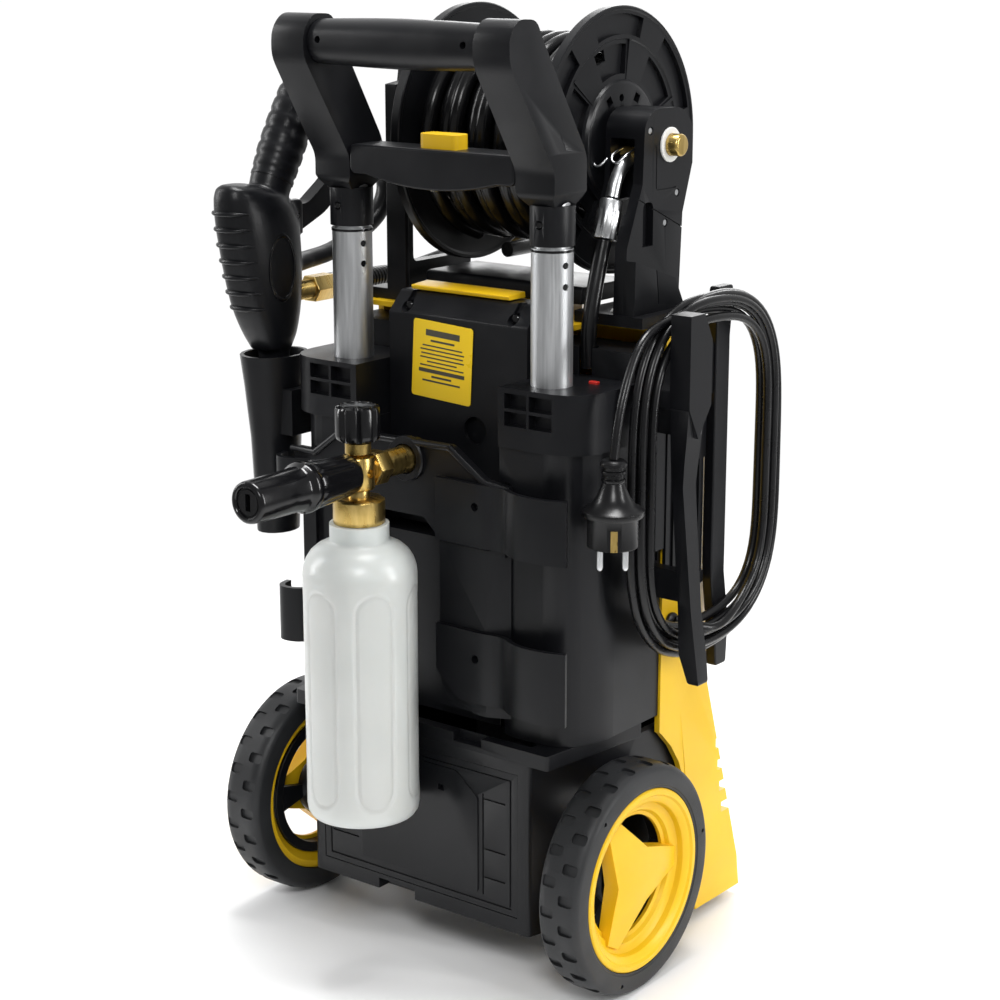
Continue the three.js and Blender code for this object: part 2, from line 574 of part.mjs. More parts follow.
// ---------- foam lance ----------
function lanceBody() {
  const { x, y, z } = LANCE;
  const barrel = turned([[0, -186], [10, -186], [10, -162], [13, -160], [13, -148], [10.6, -146],
    [10.6, -104], [0, -104]], 16, 'y').translate([x, 0, z]);
  const stem = turned([[0, 371.7], [20, 371.7], [20, 391], [9, 393], [7, 396], [7, 424], [10, 426],
    [10, 434], [5, 435], [5, 444], [0, 444]], 16).translate([x, y, 0]);
  const uptake = rod('z', 4.5, 345, 372, x, y, 12);
  return joined(barrel, stem, uptake);
}

function lanceKnob() {
  const flutes = [];
  for (let k = 0; k < 8; k += 1) {
    flutes.push(rod('z', 2.8, 430, 470, 18.4, 0, 6).rotate([0, 0, k * 45]));
  }
  const knob = turned([[0, 436], [16, 436], [17.5, 440], [17.5, 460], [15.5, 463], [0, 463]], 20);
  return without(knob, ...flutes, rod('z', 5.4, 430, 446, 0, 0, 12));
}

function lanceNozzle() {
  return turned([[0, LANCE.nozzleTip + 8], [8, LANCE.nozzleTip + 8], [10, LANCE.nozzleTip],
    [14.5, LANCE.nozzleTip], [16, LANCE.nozzleTip + 3], [16.5, -246], [17.5, -243], [19.5, -240],
    [19.5, -236], [17.5, -234], [18.5, -215], [16.5, -190], [15, -186.4], [0, -186.4]], 14, 'y');
}

function foamBottle() {
  const r = LANCE.bottleR;
  const b = LANCE.bottleBottom;
  return turned([[0, b], [r - 7, b], [r - 1.5, b + 4], [r, b + 10], [r, 332], [r - 3, 344], [r - 11, 353],
    [23, 358], [23, 371.3], [14, 371.3], [14, 360], [r - 12, 350], [r - 5, 341], [r - 2, 331],
    [r - 2, b + 10], [r - 8, b + 3], [0, b + 3]], 24);
}

function foamLance() {
  const { x, y } = LANCE;
  add('lance_body', 'brass', lanceBody());
  add('lance_knob', 'gloss', lanceKnob()).position.set(x, y, 0);
  add('lance_nozzle', 'gloss', lanceNozzle()).position.set(x, 0, LANCE.z);
  add('foam_bottle', 'milky', foamBottle()).position.set(x, y, 0);
}

// ---------- mains cord and its hooks ----------
// The rear hook: a slim bar with a wide faceted head and a flared foot that hold the turns in.
function rearHook() {
  const { root: wall, bar, tip } = HOOK;
  const side = BODY.side + GAP;
  const fromRear = prism('y', [[bar, 262], [bar + 8, 238, 2], [tip, 238, 3], [tip - 6, 300],
    [bar + 10, 400], [tip - 3, 440], [tip, 470], [bar, 470]], -40, 0);
  const fromSide = prism('x', [[-37, 470], [-34, 420], [-20, 300], [-16, 238, 3], [-2, 238, 3], [-2, 262],
    [-14, 400], [-15, 470]], bar, tip);
  const neck = fromRear.intersect(fromSide);
  const lip = prism('x', [[-37, 462], [-24, 438], [-7, 462], [-7, 512], [-18, 533], [-37, 533]], bar, tip);
  const head = prism('x', [[-37, 461], [-24, 438], [-7, 460], [-7, 500], [-14, 500], [-34, 474]],
    wall + 7, bar + 1);
  const root = box(side, wall + 8, -26, -10, 452, 496);
  const low = box(side, bar + 2, -21, -10, 306, 330);
  return joined(neck, lip, head, root, low);
}

// The front prong stands on the wall, inside the turns, and a web joins it towards the rear hook.
function frontHook() {
  const { root: wall, prong } = HOOK;
  const bar = prism('x', [[57, 300], [63, 262], [66, 226, 3], [82, 226, 3], [84, 262], [76, 306],
    [76, 500], [79, 524], [79, 540, 3], [58, 540, 3], [56, 520], [56, 320]], wall, prong);
  const web = box(wall, wall + 6, -6.6, 57, 456, 496);
  return joined(bar, web);
}

// The bundle of loops round the hooks: an upright band with round ends.
function cordCoil() {
  const band = (y0, y1, z0, z1, r) => [[y0, z0, r], [y1, z0, r], [y1, z1, r], [y0, z1, r]];
  const outer = prism('x', band(-75, 142, 248, 549, 105), CORD.coilIn, CORD.coilOut, 10);
  return without(outer, prism('x', band(-38, 103, 290, 507, 46), CORD.coilIn - 1, CORD.coilOut + 1, 8));
}

const PLUG = { x: 168, y: -101, top: 433, pinGap: 19, turn: 38 };
const TAIL_ROUTE = [[164, -51.6, 525.7], [164.5, -60, 519], [165, -70, 510], [167, -81, 496],
  [PLUG.x, -90, 479], [PLUG.x, -97, 462], [PLUG.x, -100, 446], [PLUG.x, PLUG.y, PLUG.top + GAP]];

function cordGland() {
  return turned([[0, 146.4], [8, 146.4], [8, 149], [6, 150], [5, 151.6], [0, 151.6]], 16, 'x')
    .translate([0, 12, 276]);
}

function plugBody() {
  const { x, y, top, turn } = PLUG;
  const body = turned([[0, top], [9, top], [10.5, 431], [10.5, 428], [7.5, 426], [7.5, 416], [11, 410],
    [18, 399], [23.5, 396], [23.5, 391], [19.3, 390], [19.3, 367], [0, 367]], 20);
  const slot = box(-14, 14, -3.4, 3.4, 360, 378);
  return without(body, slot).rotate([0, 0, turn]).translate([x, y, 0]);
}

function plugPins() {
  const { x, y, pinGap, turn } = PLUG;
  const pin = turned([[0, 348], [1.4, 348], [2.4, 350], [2.4, 375], [0, 375]], 12);
  const bridge = box(-13, 13, -2.8, 2.8, 368, 377.5);
  const pins = joined(bridge, pin.translate([-pinGap / 2, 0, 0]), pin.translate([pinGap / 2, 0, 0]));
  return pins.rotate([0, 0, turn]).translate([x, y, 0]);
}

// ---------- inside ----------
function motor() {
  const can = turned([[0, 214], [54, 214], [56, 218], [56, 360], [50, 372], [18, 376], [18, 392],
    [0, 392]], 20);
  const fins = [];
  for (let k = 0; k < 8; k += 1) {
    fins.push(box(54, 60, -2, 2, 230, 345).rotate([0, 0, k * 45]));
  }
  return joined(can, ...fins).translate([0, 30, 0]);
}

function pump() {
  const block = box(-42, 42, 0, 60, 96, 168);
  const neck = rod('z', 34, 167, 213.5, 0, 30, 20);
  const valves = [-26, 0, 26].map((x) => rod('y', 9, -14, 1, x, 0, 16).translate([0, 0, 120]));
  return joined(block, neck, ...valves);
}

function controlBox() {
  const body = box(-54, 54, -70, -42.5, 360, 470);
  const capacitor = rod('x', 11.5, -40, 40, -56, 480, 20);
  return joined(body, capacitor);
}

function powerKnob() {
  const dial = turned([[0, 0], [29, 0], [27, 8], [24, 14], [0, 14]], 20, 'y');
  const bar = box(-5, 5, 12, 22, -22, 22);
  const stem = rod('y', 5, -12, 1, 0, 0, 16);
  return joined(dial, bar, stem);
}

function waterInlet() {
  const { x, z, r } = INLET;
  return turned([[9, 60.4], [r, 60.4], [r, 147], [17, 147], [17, 154], [9, 154], [9, 60.4]], 18, 'y')
    .translate([x, 0, z]);
}

// ---------- the whole machine ----------
add('base_frame', 'black', baseFrame());
add('lower_rear_cover', 'black', lowerRearCover());
wheels();
feet();
add('rear_housing', 'black', rearHousing());
add('front_cover', 'yellow', frontCover());
add('rear_cover', 'black', rearCover());
add('accessory_bracket', 'black', accessoryBracket());
add('rating_label', 'yellow', ratingLabel());
for (const [side, sign] of [['left', -1], ['right', 1]]) {
  add(`outer_tube_${side}`, 'aluminium', outerTube(sign * TUBE.x));
  add(`inner_tube_${side}`, 'aluminium', innerTube(sign * TUBE.x));
}
const arm = handleArm();
add('handle_arm_right', 'black', arm);
add('handle_arm_left', 'black', mirrored(arm));
add('grip_bar', 'black', gripBar());
add('handle_crossbar', 'black', crossbar());
add('release_button', 'yellow', releaseButton());
add('release_spring', 'steel', releaseSpring());
reel();
add('reel_bracket_right', 'black', reelBracketRight());
add('reel_bracket_left', 'black', reelBracketLeft());
add('swivel_cap', 'brass', swivelCap());
add('bent_pipe', 'steel', tube(PIPE_ROUTE, 5, 6));
add('pipe_ferrule', 'steel', ferrule());
add('feed_hose', 'hose', tube(FEED_ROUTE, HOSE_R, 6));
add('gun_body', 'black', gunBody());
add('gun_trigger', 'black', gunTrigger());
add('trigger_pin', 'steel', triggerPin());
add('trigger_lock', 'yellow', triggerLock());
add('gun_holster', 'black', gunHolster());
add('gun_coupling', 'brass', gunCoupling());
add('gun_strain_relief', 'black', strainRelief());
add('hose_tail', 'hose', tube(HOSE_ROUTE, HOSE_R, 16));
foamLance();
add('cord_hook_rear', 'black', rearHook());
add('cord_hook_front', 'black', frontHook());
add('cord_gland', 'black', cordGland());
add('mains_cord_coil', 'hose', cordCoil());
add('mains_cord_tail', 'hose', tube(TAIL_ROUTE, CORD.r, 8, 8));
add('plug_body', 'black', plugBody());
add('plug_pins', 'brass', plugPins());
add('motor', 'grey', motor());
add('pump', 'grey', pump());
add('control_box', 'grey', controlBox());
const knob = add('power_knob', 'black', powerKnob());
knob.position.set(0, 101, 410);
knob.rotation.x = Math.atan2(20, 140);
add('water_inlet', 'black', waterInlet());

export default group;
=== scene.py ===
import json
import math
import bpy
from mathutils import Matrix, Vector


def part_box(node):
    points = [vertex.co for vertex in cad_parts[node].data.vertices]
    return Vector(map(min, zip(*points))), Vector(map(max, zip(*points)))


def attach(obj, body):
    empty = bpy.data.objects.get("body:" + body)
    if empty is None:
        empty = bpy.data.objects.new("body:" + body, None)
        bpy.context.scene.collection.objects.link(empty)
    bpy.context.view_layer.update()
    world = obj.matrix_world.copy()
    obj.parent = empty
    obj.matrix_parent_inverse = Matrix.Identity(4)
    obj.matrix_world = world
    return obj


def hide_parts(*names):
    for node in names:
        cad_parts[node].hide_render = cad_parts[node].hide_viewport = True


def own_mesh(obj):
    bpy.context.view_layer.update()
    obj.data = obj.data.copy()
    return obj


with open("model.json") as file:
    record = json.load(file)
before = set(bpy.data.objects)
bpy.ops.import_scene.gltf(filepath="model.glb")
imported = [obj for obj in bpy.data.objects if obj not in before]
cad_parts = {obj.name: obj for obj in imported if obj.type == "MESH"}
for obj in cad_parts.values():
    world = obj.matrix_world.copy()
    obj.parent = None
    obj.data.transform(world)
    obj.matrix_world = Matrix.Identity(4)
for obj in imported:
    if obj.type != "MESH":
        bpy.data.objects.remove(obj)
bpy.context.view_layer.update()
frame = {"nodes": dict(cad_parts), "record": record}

from types import SimpleNamespace

import bmesh
import bpy
from mathutils import Matrix, Vector


# ---------- places, read from the frame ----------
def raw_span(node):
    low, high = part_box(node)
    return low * 1000, high * 1000


TUBE_LEFT, TUBE_RIGHT = raw_span("outer_tube_left"), raw_span("outer_tube_right")
WHEEL_RAW = raw_span("tyre_right")
WHEEL_Y = -73.0
LANCE_Z = 411                   # height of the foam lance's nozzle
LABEL_BARS_TOP = 505
BRACKET_FACE_X = 120            # outer face of the reel's right bracket
SHIFT = Vector((
    (TUBE_LEFT[0].x + TUBE_RIGHT[1].x) / 2,
    (WHEEL_RAW[0].y + WHEEL_RAW[1].y) / 2 - WHEEL_Y,
    0.0,
))


def metres(point):
    return (Vector(point) + SHIFT) * 0.001


def span(node):
    """A node's box in millimetres on the machine's axes, with its middle."""
    low, high = raw_span(node)
    low, high = low - SHIFT, high - SHIFT
    mid = (low + high) / 2
    return SimpleNamespace(x0=low.x, x1=high.x, y0=low.y, y1=high.y, z0=low.z, z1=high.z,
                           x=mid.x, y=mid.y, z=mid.z)


BODY_OF = {n: b for b, ns in frame["record"]["behaviour"]["bodies"].items() for n in ns}
SLOT_OF = {s["node"]: s["material_slot"] for s in frame["record"]["subparts"]}


# ---------- materials ----------
def fill(node, **values):
    """Sets a node's inputs by name, with _ for a space."""
    for name, value in values.items():
        node.inputs[name.replace("_", " ")].default_value = value


def shader(name, color, roughness, metallic=0.0, specular=0.5):
    mat = bpy.data.materials.new(name)
    mat.use_nodes = True
    tree = mat.node_tree
    bsdf = tree.nodes["Principled BSDF"]
    fill(bsdf, Base_Color=(*color, 1), Roughness=roughness, Metallic=metallic, Specular_IOR_Level=specular)
    return mat, tree, bsdf


def noise(tree, scale, detail=4.0, stretch=None):
    """Noise in object space, in cycles per metre, drawn out along an axis if stretch is given."""
    tex = tree.nodes.new("ShaderNodeTexNoise")
    fill(tex, Scale=scale, Detail=detail)
    source = tree.nodes.new("ShaderNodeTexCoord").outputs["Object"]
    if stretch:
        mapping = tree.nodes.new("ShaderNodeMapping")
        fill(mapping, Scale=stretch)
        tree.links.new(source, mapping.inputs["Vector"])
        source = mapping.outputs["Vector"]
    tree.links.new(source, tex.inputs["Vector"])
    return tex.outputs["Fac"]


def remap(tree, value, low, high, start=0.3, end=0.7):
    """Runs from low to high as value goes from start to end."""
    node = tree.nodes.new("ShaderNodeMapRange")
    fill(node, From_Min=start, From_Max=end, To_Min=low, To_Max=high)
    tree.links.new(value, node.inputs["Value"])
    return node.outputs["Result"]


def tint(tree, bsdf, value, dark, light):
    """Mixes two base colours. A mix node repeats its socket names, so its colours go by number."""
    mix = tree.nodes.new("ShaderNodeMix")
    mix.data_type = "RGBA"
    first, second, result = mix.inputs[6], mix.inputs[7], mix.outputs[2]
    first.default_value, second.default_value = (*dark, 1), (*light, 1)
    tree.links.new(remap(tree, value, 0.0, 1.0), mix.inputs[0])
    tree.links.new(result, bsdf.inputs["Base Color"])


def bump(tree, bsdf, value, depth, strength=1.0):
    node = tree.nodes.new("ShaderNodeBump")
    fill(node, Distance=depth, Strength=strength)
    tree.links.new(value, node.inputs["Height"])
    tree.links.new(node.outputs["Normal"], bsdf.inputs["Normal"])


def moulded(name, dark, light, rough, grain, depth, spread=0.07, specular=0.5):
    """Moulded plastic or rubber: grain, faint cloudiness and uneven gloss."""
    mat, tree, bsdf = shader(name, dark, rough, specular=specular)
    tint(tree, bsdf, noise(tree, 14, 3), dark, light)
    tree.links.new(remap(tree, noise(tree, 30, 5), rough - spread, rough + spread),
                   bsdf.inputs["Roughness"])
    bump(tree, bsdf, noise(tree, grain, 2), depth)
    return mat


def metal(name, dark, light, rough, stretch, grain=60, depth=2e-5):
    mat, tree, bsdf = shader(name, dark, rough, 1.0)
    lines = noise(tree, grain, 4, stretch)
    tint(tree, bsdf, lines, dark, light)
    tree.links.new(remap(tree, lines, rough - 0.06, rough + 0.08), bsdf.inputs["Roughness"])
    bump(tree, bsdf, lines, depth, 0.5)
    return mat


def milky():
    mat, tree, bsdf = shader("milky bottle", (0.74, 0.77, 0.75), 0.3)
    tint(tree, bsdf, noise(tree, 7, 3), (0.68, 0.72, 0.70), (0.80, 0.83, 0.81))
    fill(bsdf, Subsurface_Weight=0.5, Subsurface_Radius=(0.02, 0.022, 0.024), Subsurface_Scale=0.5,
         Transmission_Weight=0.16)
    bump(tree, bsdf, noise(tree, 240, 3), 7e-5, 0.6)
    return mat


MATERIALS = {
    "housing_black": moulded("housing black", (0.0038, 0.004, 0.005), (0.0062, 0.0065, 0.008),
                             0.34, 1500, 6e-5, 0.06, 0.27),
    "gloss_black": moulded("gloss black", (0.003, 0.003, 0.0035), (0.006, 0.006, 0.0068), 0.17, 500,
                           2e-5, 0.04, 0.4),
    "cover_yellow": moulded("cover yellow", (0.74, 0.445, 0.006), (0.80, 0.50, 0.012), 0.38, 1100, 4e-5,
                            0.05, 0.35),
    "tyre_rubber": moulded("tyre", (0.008, 0.0085, 0.0095), (0.019, 0.02, 0.022), 0.5, 1300, 1.4e-4, 0.08,
                           0.42),
    "foot_rubber": moulded("foot rubber", (0.006, 0.006, 0.006), (0.014, 0.014, 0.014), 0.72, 900, 1.5e-4),
    "hose_black": moulded("hose", (0.003, 0.003, 0.0035), (0.006, 0.006, 0.0068), 0.24, 700, 2.5e-5, 0.05,
                          0.34),
    "cord_black": moulded("cord", (0.003, 0.003, 0.0035), (0.006, 0.006, 0.0068), 0.28, 900, 3e-5, 0.05,
                          0.34),
    "tube_aluminium": metal("anodised tube", (0.50, 0.51, 0.52), (0.58, 0.59, 0.60), 0.42, (9, 9, 0.4), 60,
                            5e-6),
    "brass": metal("brass", (0.44, 0.30, 0.085), (0.62, 0.45, 0.16), 0.3, (1, 6, 1), 60, 6e-6),
    "steel": metal("zinc steel", (0.56, 0.57, 0.58), (0.68, 0.69, 0.70), 0.3, (1, 1, 1), 40, 4e-6),
    "bottle_plastic": milky(),
    "label": moulded("label", (0.88, 0.58, 0.01), (0.93, 0.64, 0.02), 0.3, 300, 1e-5, 0.03),
    "motor_metal": metal("cast metal", (0.28, 0.29, 0.30), (0.40, 0.41, 0.42), 0.5, (1, 1, 1), 300, 1e-4),
}
INK = moulded("label print", (0.05, 0.045, 0.03), (0.08, 0.07, 0.05), 0.35, 300, 1e-5)
# SHADOW: a near-black matte finish used as painted shade inside the cover's hole
SHADOW = moulded("painted recess shade", (0.003, 0.003, 0.003), (0.005, 0.005, 0.005), 0.8, 600, 4e-5)
NYLON = moulded("white nylon", (0.70, 0.70, 0.68), (0.80, 0.80, 0.78), 0.4, 700, 3e-5)
RED = moulded("red mark", (0.5, 0.02, 0.015), (0.6, 0.03, 0.02), 0.35, 500, 2e-5)
FILTER = moulded("filter blue", (0.25, 0.42, 0.62), (0.32, 0.5, 0.7), 0.4, 500, 3e-5)


# ---------- mesh tools: every shape is (points in millimetres, faces) ----------
def merged(*shapes):
    points, faces = [], []
    for ps, fs in shapes:
        start = len(points)
        points += [Vector(p) for p in ps]
        faces += [[i + start for i in f] for f in fs]
    return points, faces


def moved(shape, matrix):
    return [matrix @ Vector(p) for p in shape[0]], shape[1]


def shifted(shape, offset):
    return moved(shape, Matrix.Translation(offset))


def turned_by(shape, degrees, axis, centre):
    there = Matrix.Translation(centre)
    return moved(shape, there @ Matrix.Rotation(math.radians(degrees), 4, axis) @ there.inverted())


AXES = {
    "x": Matrix(((0, 0, 1, 0), (1, 0, 0, 0), (0, 1, 0, 0), (0, 0, 0, 1))),
    "y": Matrix(((1, 0, 0, 0), (0, 0, 1, 0), (0, -1, 0, 0), (0, 0, 0, 1))),
    "z": Matrix.Identity(4),
}


def lathe(profile, axis="z", centre=(0, 0, 0), segments=72, ripple=None):
    """A turned piece from (radius, height) points. ripple(angle, height) adds to the radius."""
    points, rings = [], []
    for r, h in profile:
        if r < 1e-6:
            rings.append([len(points)])
            points.append(Vector((0, 0, h)))
            continue
        ring = []
        for k in range(segments):
            a = 2 * math.pi * k / segments
            rr = r + (ripple(a, h) if ripple else 0)
            ring.append(len(points))
            points.append(Vector((rr * math.cos(a), rr * math.sin(a), h)))
        rings.append(ring)
    faces = []
    closed = profile[0] == profile[-1] and profile[0][0] > 1e-6
    if closed:
        del points[rings[-1][0]:]
        rings[-1] = rings[0]
    for low, high in zip(rings, rings[1:]):
        for k in range(segments):
            n = (k + 1) % segments
            if len(low) == 1 and len(high) > 1:
                faces.append([low[0], high[n], high[k]])
            elif len(high) == 1 and len(low) > 1:
                faces.append([low[k], low[n], high[0]])
            elif len(low) > 1:
                faces.append([low[k], low[n], high[n], high[k]])
    return moved((points, faces), Matrix.Translation(centre) @ AXES[axis])


def rod(r, low, high, axis="z", centre=(0, 0, 0), segments=72):
    return lathe([(0, low), (r, low), (r, high), (0, high)], axis, centre, segments)


def hoop(inner, outer, low, high, axis="z", centre=(0, 0, 0), segments=72):
    profile = [(inner, low), (outer, low), (outer, high), (inner, high), (inner, low)]
    return lathe(profile, axis, centre, segments)


def disc(r, low, high, soft=0.6):
    """A turned disc's profile with softened edges."""
    return [(0, low), (r - soft, low), (r, low + soft), (r, high - soft), (r - soft, high), (0, high)]


def rounded(points, steps=5):
    """A closed outline from (a, b) or (a, b, radius) points."""
    out, count = [], len(points)
    for i, point in enumerate(points):
        corner = Vector(point[:2])
        wanted = point[2] if len(point) > 2 else 0
        before = Vector(points[i - 1][:2]) - corner
        after = Vector(points[(i + 1) % count][:2]) - corner
        r = min(wanted, 0.48 * before.length, 0.48 * after.length)
        if r <= 0:
            out.append(corner)
            continue
        start, end = corner + before.normalized() * r, corner + after.normalized() * r
        for k in range(steps + 1):
            t = k / steps
            out.append(start * (1 - t) ** 2 + corner * 2 * t * (1 - t) + end * t * t)
    return out


def place(axis, a, b, along):
    return {"x": (along, a, b), "y": (a, along, b), "z": (a, b, along)}[axis]


def prism(axis, points, low, high, steps=5):
    flat = rounded(points, steps)
    n = len(flat)
    verts = [Vector(place(axis, p.x, p.y, low)) for p in flat]
    verts += [Vector(place(axis, p.x, p.y, high)) for p in flat]
    faces = [[(i + 1) % n, i, n + i, n + (i + 1) % n] for i in range(n)]
    faces += [list(range(n)), list(range(2 * n - 1, n - 1, -1))]
    return verts, faces


def block(x0, x1, y0, y1, z0, z1):
    return prism("z", [(x0, y0), (x1, y0), (x1, y1), (x0, y1)], z0, z1)


def heading(line, i):
    """The direction of a path at its point i."""
    return (line[min(i + 1, len(line) - 1)] - line[max(i - 1, 0)]).normalized()


def eased(t):
    return t * t * (3 - 2 * t)


def about(r, h, offsets):
    """Profile points given as offsets from a radius and a height."""
    return [(r + dr, h + dh) for dr, dh in offsets]


def smooth_path(points, per=8):
    """Catmull-Rom through the points, with per steps in each stretch."""
    pts = [Vector(p) for p in points]
    pts = [2 * pts[0] - pts[1], *pts, 2 * pts[-1] - pts[-2]]
    out = []
    for a, b, c, d in zip(pts, pts[1:], pts[2:], pts[3:]):
        for k in range(per):
            t = k / per
            out.append(0.5 * ((2 * b) + (c - a) * t + (2 * a - 5 * b + 4 * c - d) * t * t
                              + (3 * b - a - 3 * c + d) * t ** 3))
    return [*out, pts[-2]]


def sweep(path, radius, sides=12):
    """A closed round tube along a path. radius is a number or a function of the share along it."""
    path = [Vector(p) for p in path]
    size = radius if callable(radius) else (lambda share: radius)
    tangent = (path[1] - path[0]).normalized()
    across = tangent.orthogonal().normalized()
    points, faces = [], []
    for i, p in enumerate(path):
        t = heading(path, i)
        across = (across - t * across.dot(t)).normalized()
        other = t.cross(across)
        r = size(i / (len(path) - 1))
        for k in range(sides):
            a = 2 * math.pi * k / sides
            points.append(p + (across * math.cos(a) + other * math.sin(a)) * r)
    for i in range(len(path) - 1):
        for k in range(sides):
            n = (k + 1) % sides
            s = i * sides
            faces.append([s + k, s + n, s + sides + n, s + sides + k])
    end = (len(path) - 1) * sides
    faces += [list(range(sides - 1, -1, -1)), list(range(end, end + sides))]
    return points, faces


def oval(centre, a, b, half_a, half_b, power=2.0, sides=40):
    """A ring of points: an ellipse for power 2, squarer above it."""
    ring = []
    for k in range(sides):
        t = 2 * math.pi * k / sides
        c, d = math.cos(t), math.sin(t)
        u = math.copysign(abs(c) ** (2 / power), c)
        v = math.copysign(abs(d) ** (2 / power), d)
        ring.append(Vector(centre) + a * (half_a * u) + b * (half_b * v))
    return ring


def loft(rings):
    """A closed body through rings with the same number of points."""
    n = len(rings[0])
    points = [p for ring in rings for p in ring]
    faces = [list(range(n - 1, -1, -1)), list(range(n * (len(rings) - 1), n * len(rings)))]
    for i in range(len(rings) - 1):
        for k in range(n):
            m = (k + 1) % n
            faces.append([i * n + k, i * n + m, (i + 1) * n + m, (i + 1) * n + k])
    return points, faces


def ribbon(path, thick, low, high, per=6):
    """A strip of even thickness along an (x, y) path, standing between two heights."""
    line = smooth_path([(x, y, 0) for x, y in path], per)
    left, right = [], []
    for i, p in enumerate(line):
        t = heading(line, i)
        side = Vector((-t.y, t.x, 0)) * (thick / 2)
        left.append(p + side)
        right.append(p - side)
    return prism("z", [(p.x, p.y) for p in [*left, *reversed(right)]], low, high)


def mesh_from(name, shape):
    mesh = bpy.data.meshes.new(name)
    mesh.from_pydata([metres(p) for p in shape[0]], [], shape[1])
    bm = bmesh.new()
    bm.from_mesh(mesh)
    bmesh.ops.remove_doubles(bm, verts=bm.verts, dist=1e-6)
    bmesh.ops.recalc_face_normals(bm, faces=bm.faces)
    bm.to_mesh(mesh)
    bm.free()
    return mesh


def linked(name, mesh):
    obj = bpy.data.objects.new(name, mesh)
    bpy.context.scene.collection.objects.link(obj)
    return obj


def kept(obj):
    """Bakes the object's modifiers into its own mesh."""
    graph = bpy.context.evaluated_depsgraph_get()
    result = bpy.data.meshes.new_from_object(obj.evaluated_get(graph))
    obj.modifiers.clear()
    old = obj.data
    obj.data = result
    bpy.data.meshes.remove(old)


def booled(obj, shape, operation="DIFFERENCE"):
    """Cuts the shape away from the object's mesh, or joins it on, and keeps the result."""
    tool = linked("tool", mesh_from("tool", shape))
    mod = obj.modifiers.new("boolean", "BOOLEAN")
    mod.object = tool
    mod.operation = operation
    mod.solver = "MANIFOLD"
    kept(obj)
    mesh = tool.data
    bpy.data.objects.remove(tool)
    bpy.data.meshes.remove(mesh)
    return obj


def soft_edges(obj, width, segments, angle):
    mod = obj.modifiers.new("edges", "BEVEL")
    mod.width = width * 0.001
    mod.segments = segments
    mod.limit_method = "ANGLE"
    mod.angle_limit = math.radians(angle)
    return mod


def finish_piece(obj, body, slot, material=None, bevel=0.0, segments=2, angle=32):
    mesh = obj.data
    mesh.materials.clear()
    mesh.materials.append(material or MATERIALS[slot])
    mesh.shade_smooth()
    mesh.set_sharp_from_angle(angle=math.radians(angle))
    if bevel:
        mod = soft_edges(obj, bevel, segments, angle)
        mod.harden_normals = True
        mod.use_clamp_overlap = True
    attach(obj, body)
    return obj


def piece(name, shape, body="root", slot="housing_black", material=None, bevel=0.0, segments=2,
          angle=32, cut=(), add=()):
    """A visible piece. One named NODE.skin is shown in the place of that CAD node."""
    obj = linked(name, mesh_from(name, shape))
    for extra in add:
        booled(obj, extra, "UNION")
    for tool in cut:
        booled(obj, tool)
    finish_piece(obj, body, slot, material, bevel, segments, angle)
    if name.endswith(".skin"):
        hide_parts(name.removesuffix(".skin"))
    return obj


def dressed(node, bevel=1.0, segments=2, angle=32, cut=(), soften=0.0):
    """A CAD node copied, cleaned, given soft edges and detail, and shown in its place. soften is a
    larger round, in millimetres, made before anything is cut."""
    mesh = frame["nodes"][node].data.copy()
    bm = bmesh.new()
    bm.from_mesh(mesh)
    bmesh.ops.remove_doubles(bm, verts=bm.verts, dist=2e-6)
    bmesh.ops.dissolve_limit(bm, angle_limit=math.radians(0.8), verts=bm.verts, edges=bm.edges)
    bm.to_mesh(mesh)
    bm.free()
    obj = linked(f"{node}.skin", mesh)
    if soften:
        soft_edges(obj, soften, 4, angle)
        kept(obj)
    for tool in cut:
        booled(obj, tool)
    finish_piece(obj, BODY_OF[node], SLOT_OF[node], None, bevel, segments, angle)
    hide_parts(node)
    return obj


def line_curve(name, path, radius, slot, body):
    """A cord or hose as one open spline through points in millimetres."""
    data = bpy.data.curves.new(name, "CURVE")
    data.dimensions = "3D"
    data.bevel_depth = radius * 0.001
    data.bevel_resolution = 4
    data.use_fill_caps = True
    spline = data.splines.new("POLY")
    spline.points.add(len(path) - 1)
    for point, p in zip(spline.points, path):
        point.co = (*metres(p), 1)
    spline.use_smooth = True
    data.materials.append(MATERIALS[slot])
    obj = linked(name, data)
    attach(obj, body)
    return obj


# ---------- stage and camera ----------
CAMERA_AZIMUTH = 37.77
CAMERA_ELEVATION = 14.39
CAMERA_AT = (1078.0, -1412.0, 811.4)
CAMERA_LENS = 80.2


def make_camera():
    data = bpy.data.cameras.new("camera")
    data.lens = CAMERA_LENS
    data.sensor_width = 36
    camera = linked("camera", data)
    a, e = math.radians(CAMERA_AZIMUTH), math.radians(CAMERA_ELEVATION)
    back = Vector((math.sin(a) * math.cos(e), -math.cos(a) * math.cos(e), math.sin(e)))
    camera.location = metres(CAMERA_AT)
    camera.rotation_mode = "QUATERNION"
    camera.rotation_quaternion = (-back).to_track_quat("-Z", "Y")
    bpy.context.scene.camera = camera


def area_light(name, at, target, size, power):
    data = bpy.data.lights.new(name, "AREA")
    data.shape = "RECTANGLE"
    data.size, data.size_y = size
    data.energy = power
    lamp = linked(name, data)
    lamp.location = at
    lamp.rotation_mode = "QUATERNION"
    lamp.rotation_quaternion = (Vector(target) - Vector(at)).to_track_quat("-Z", "Y")


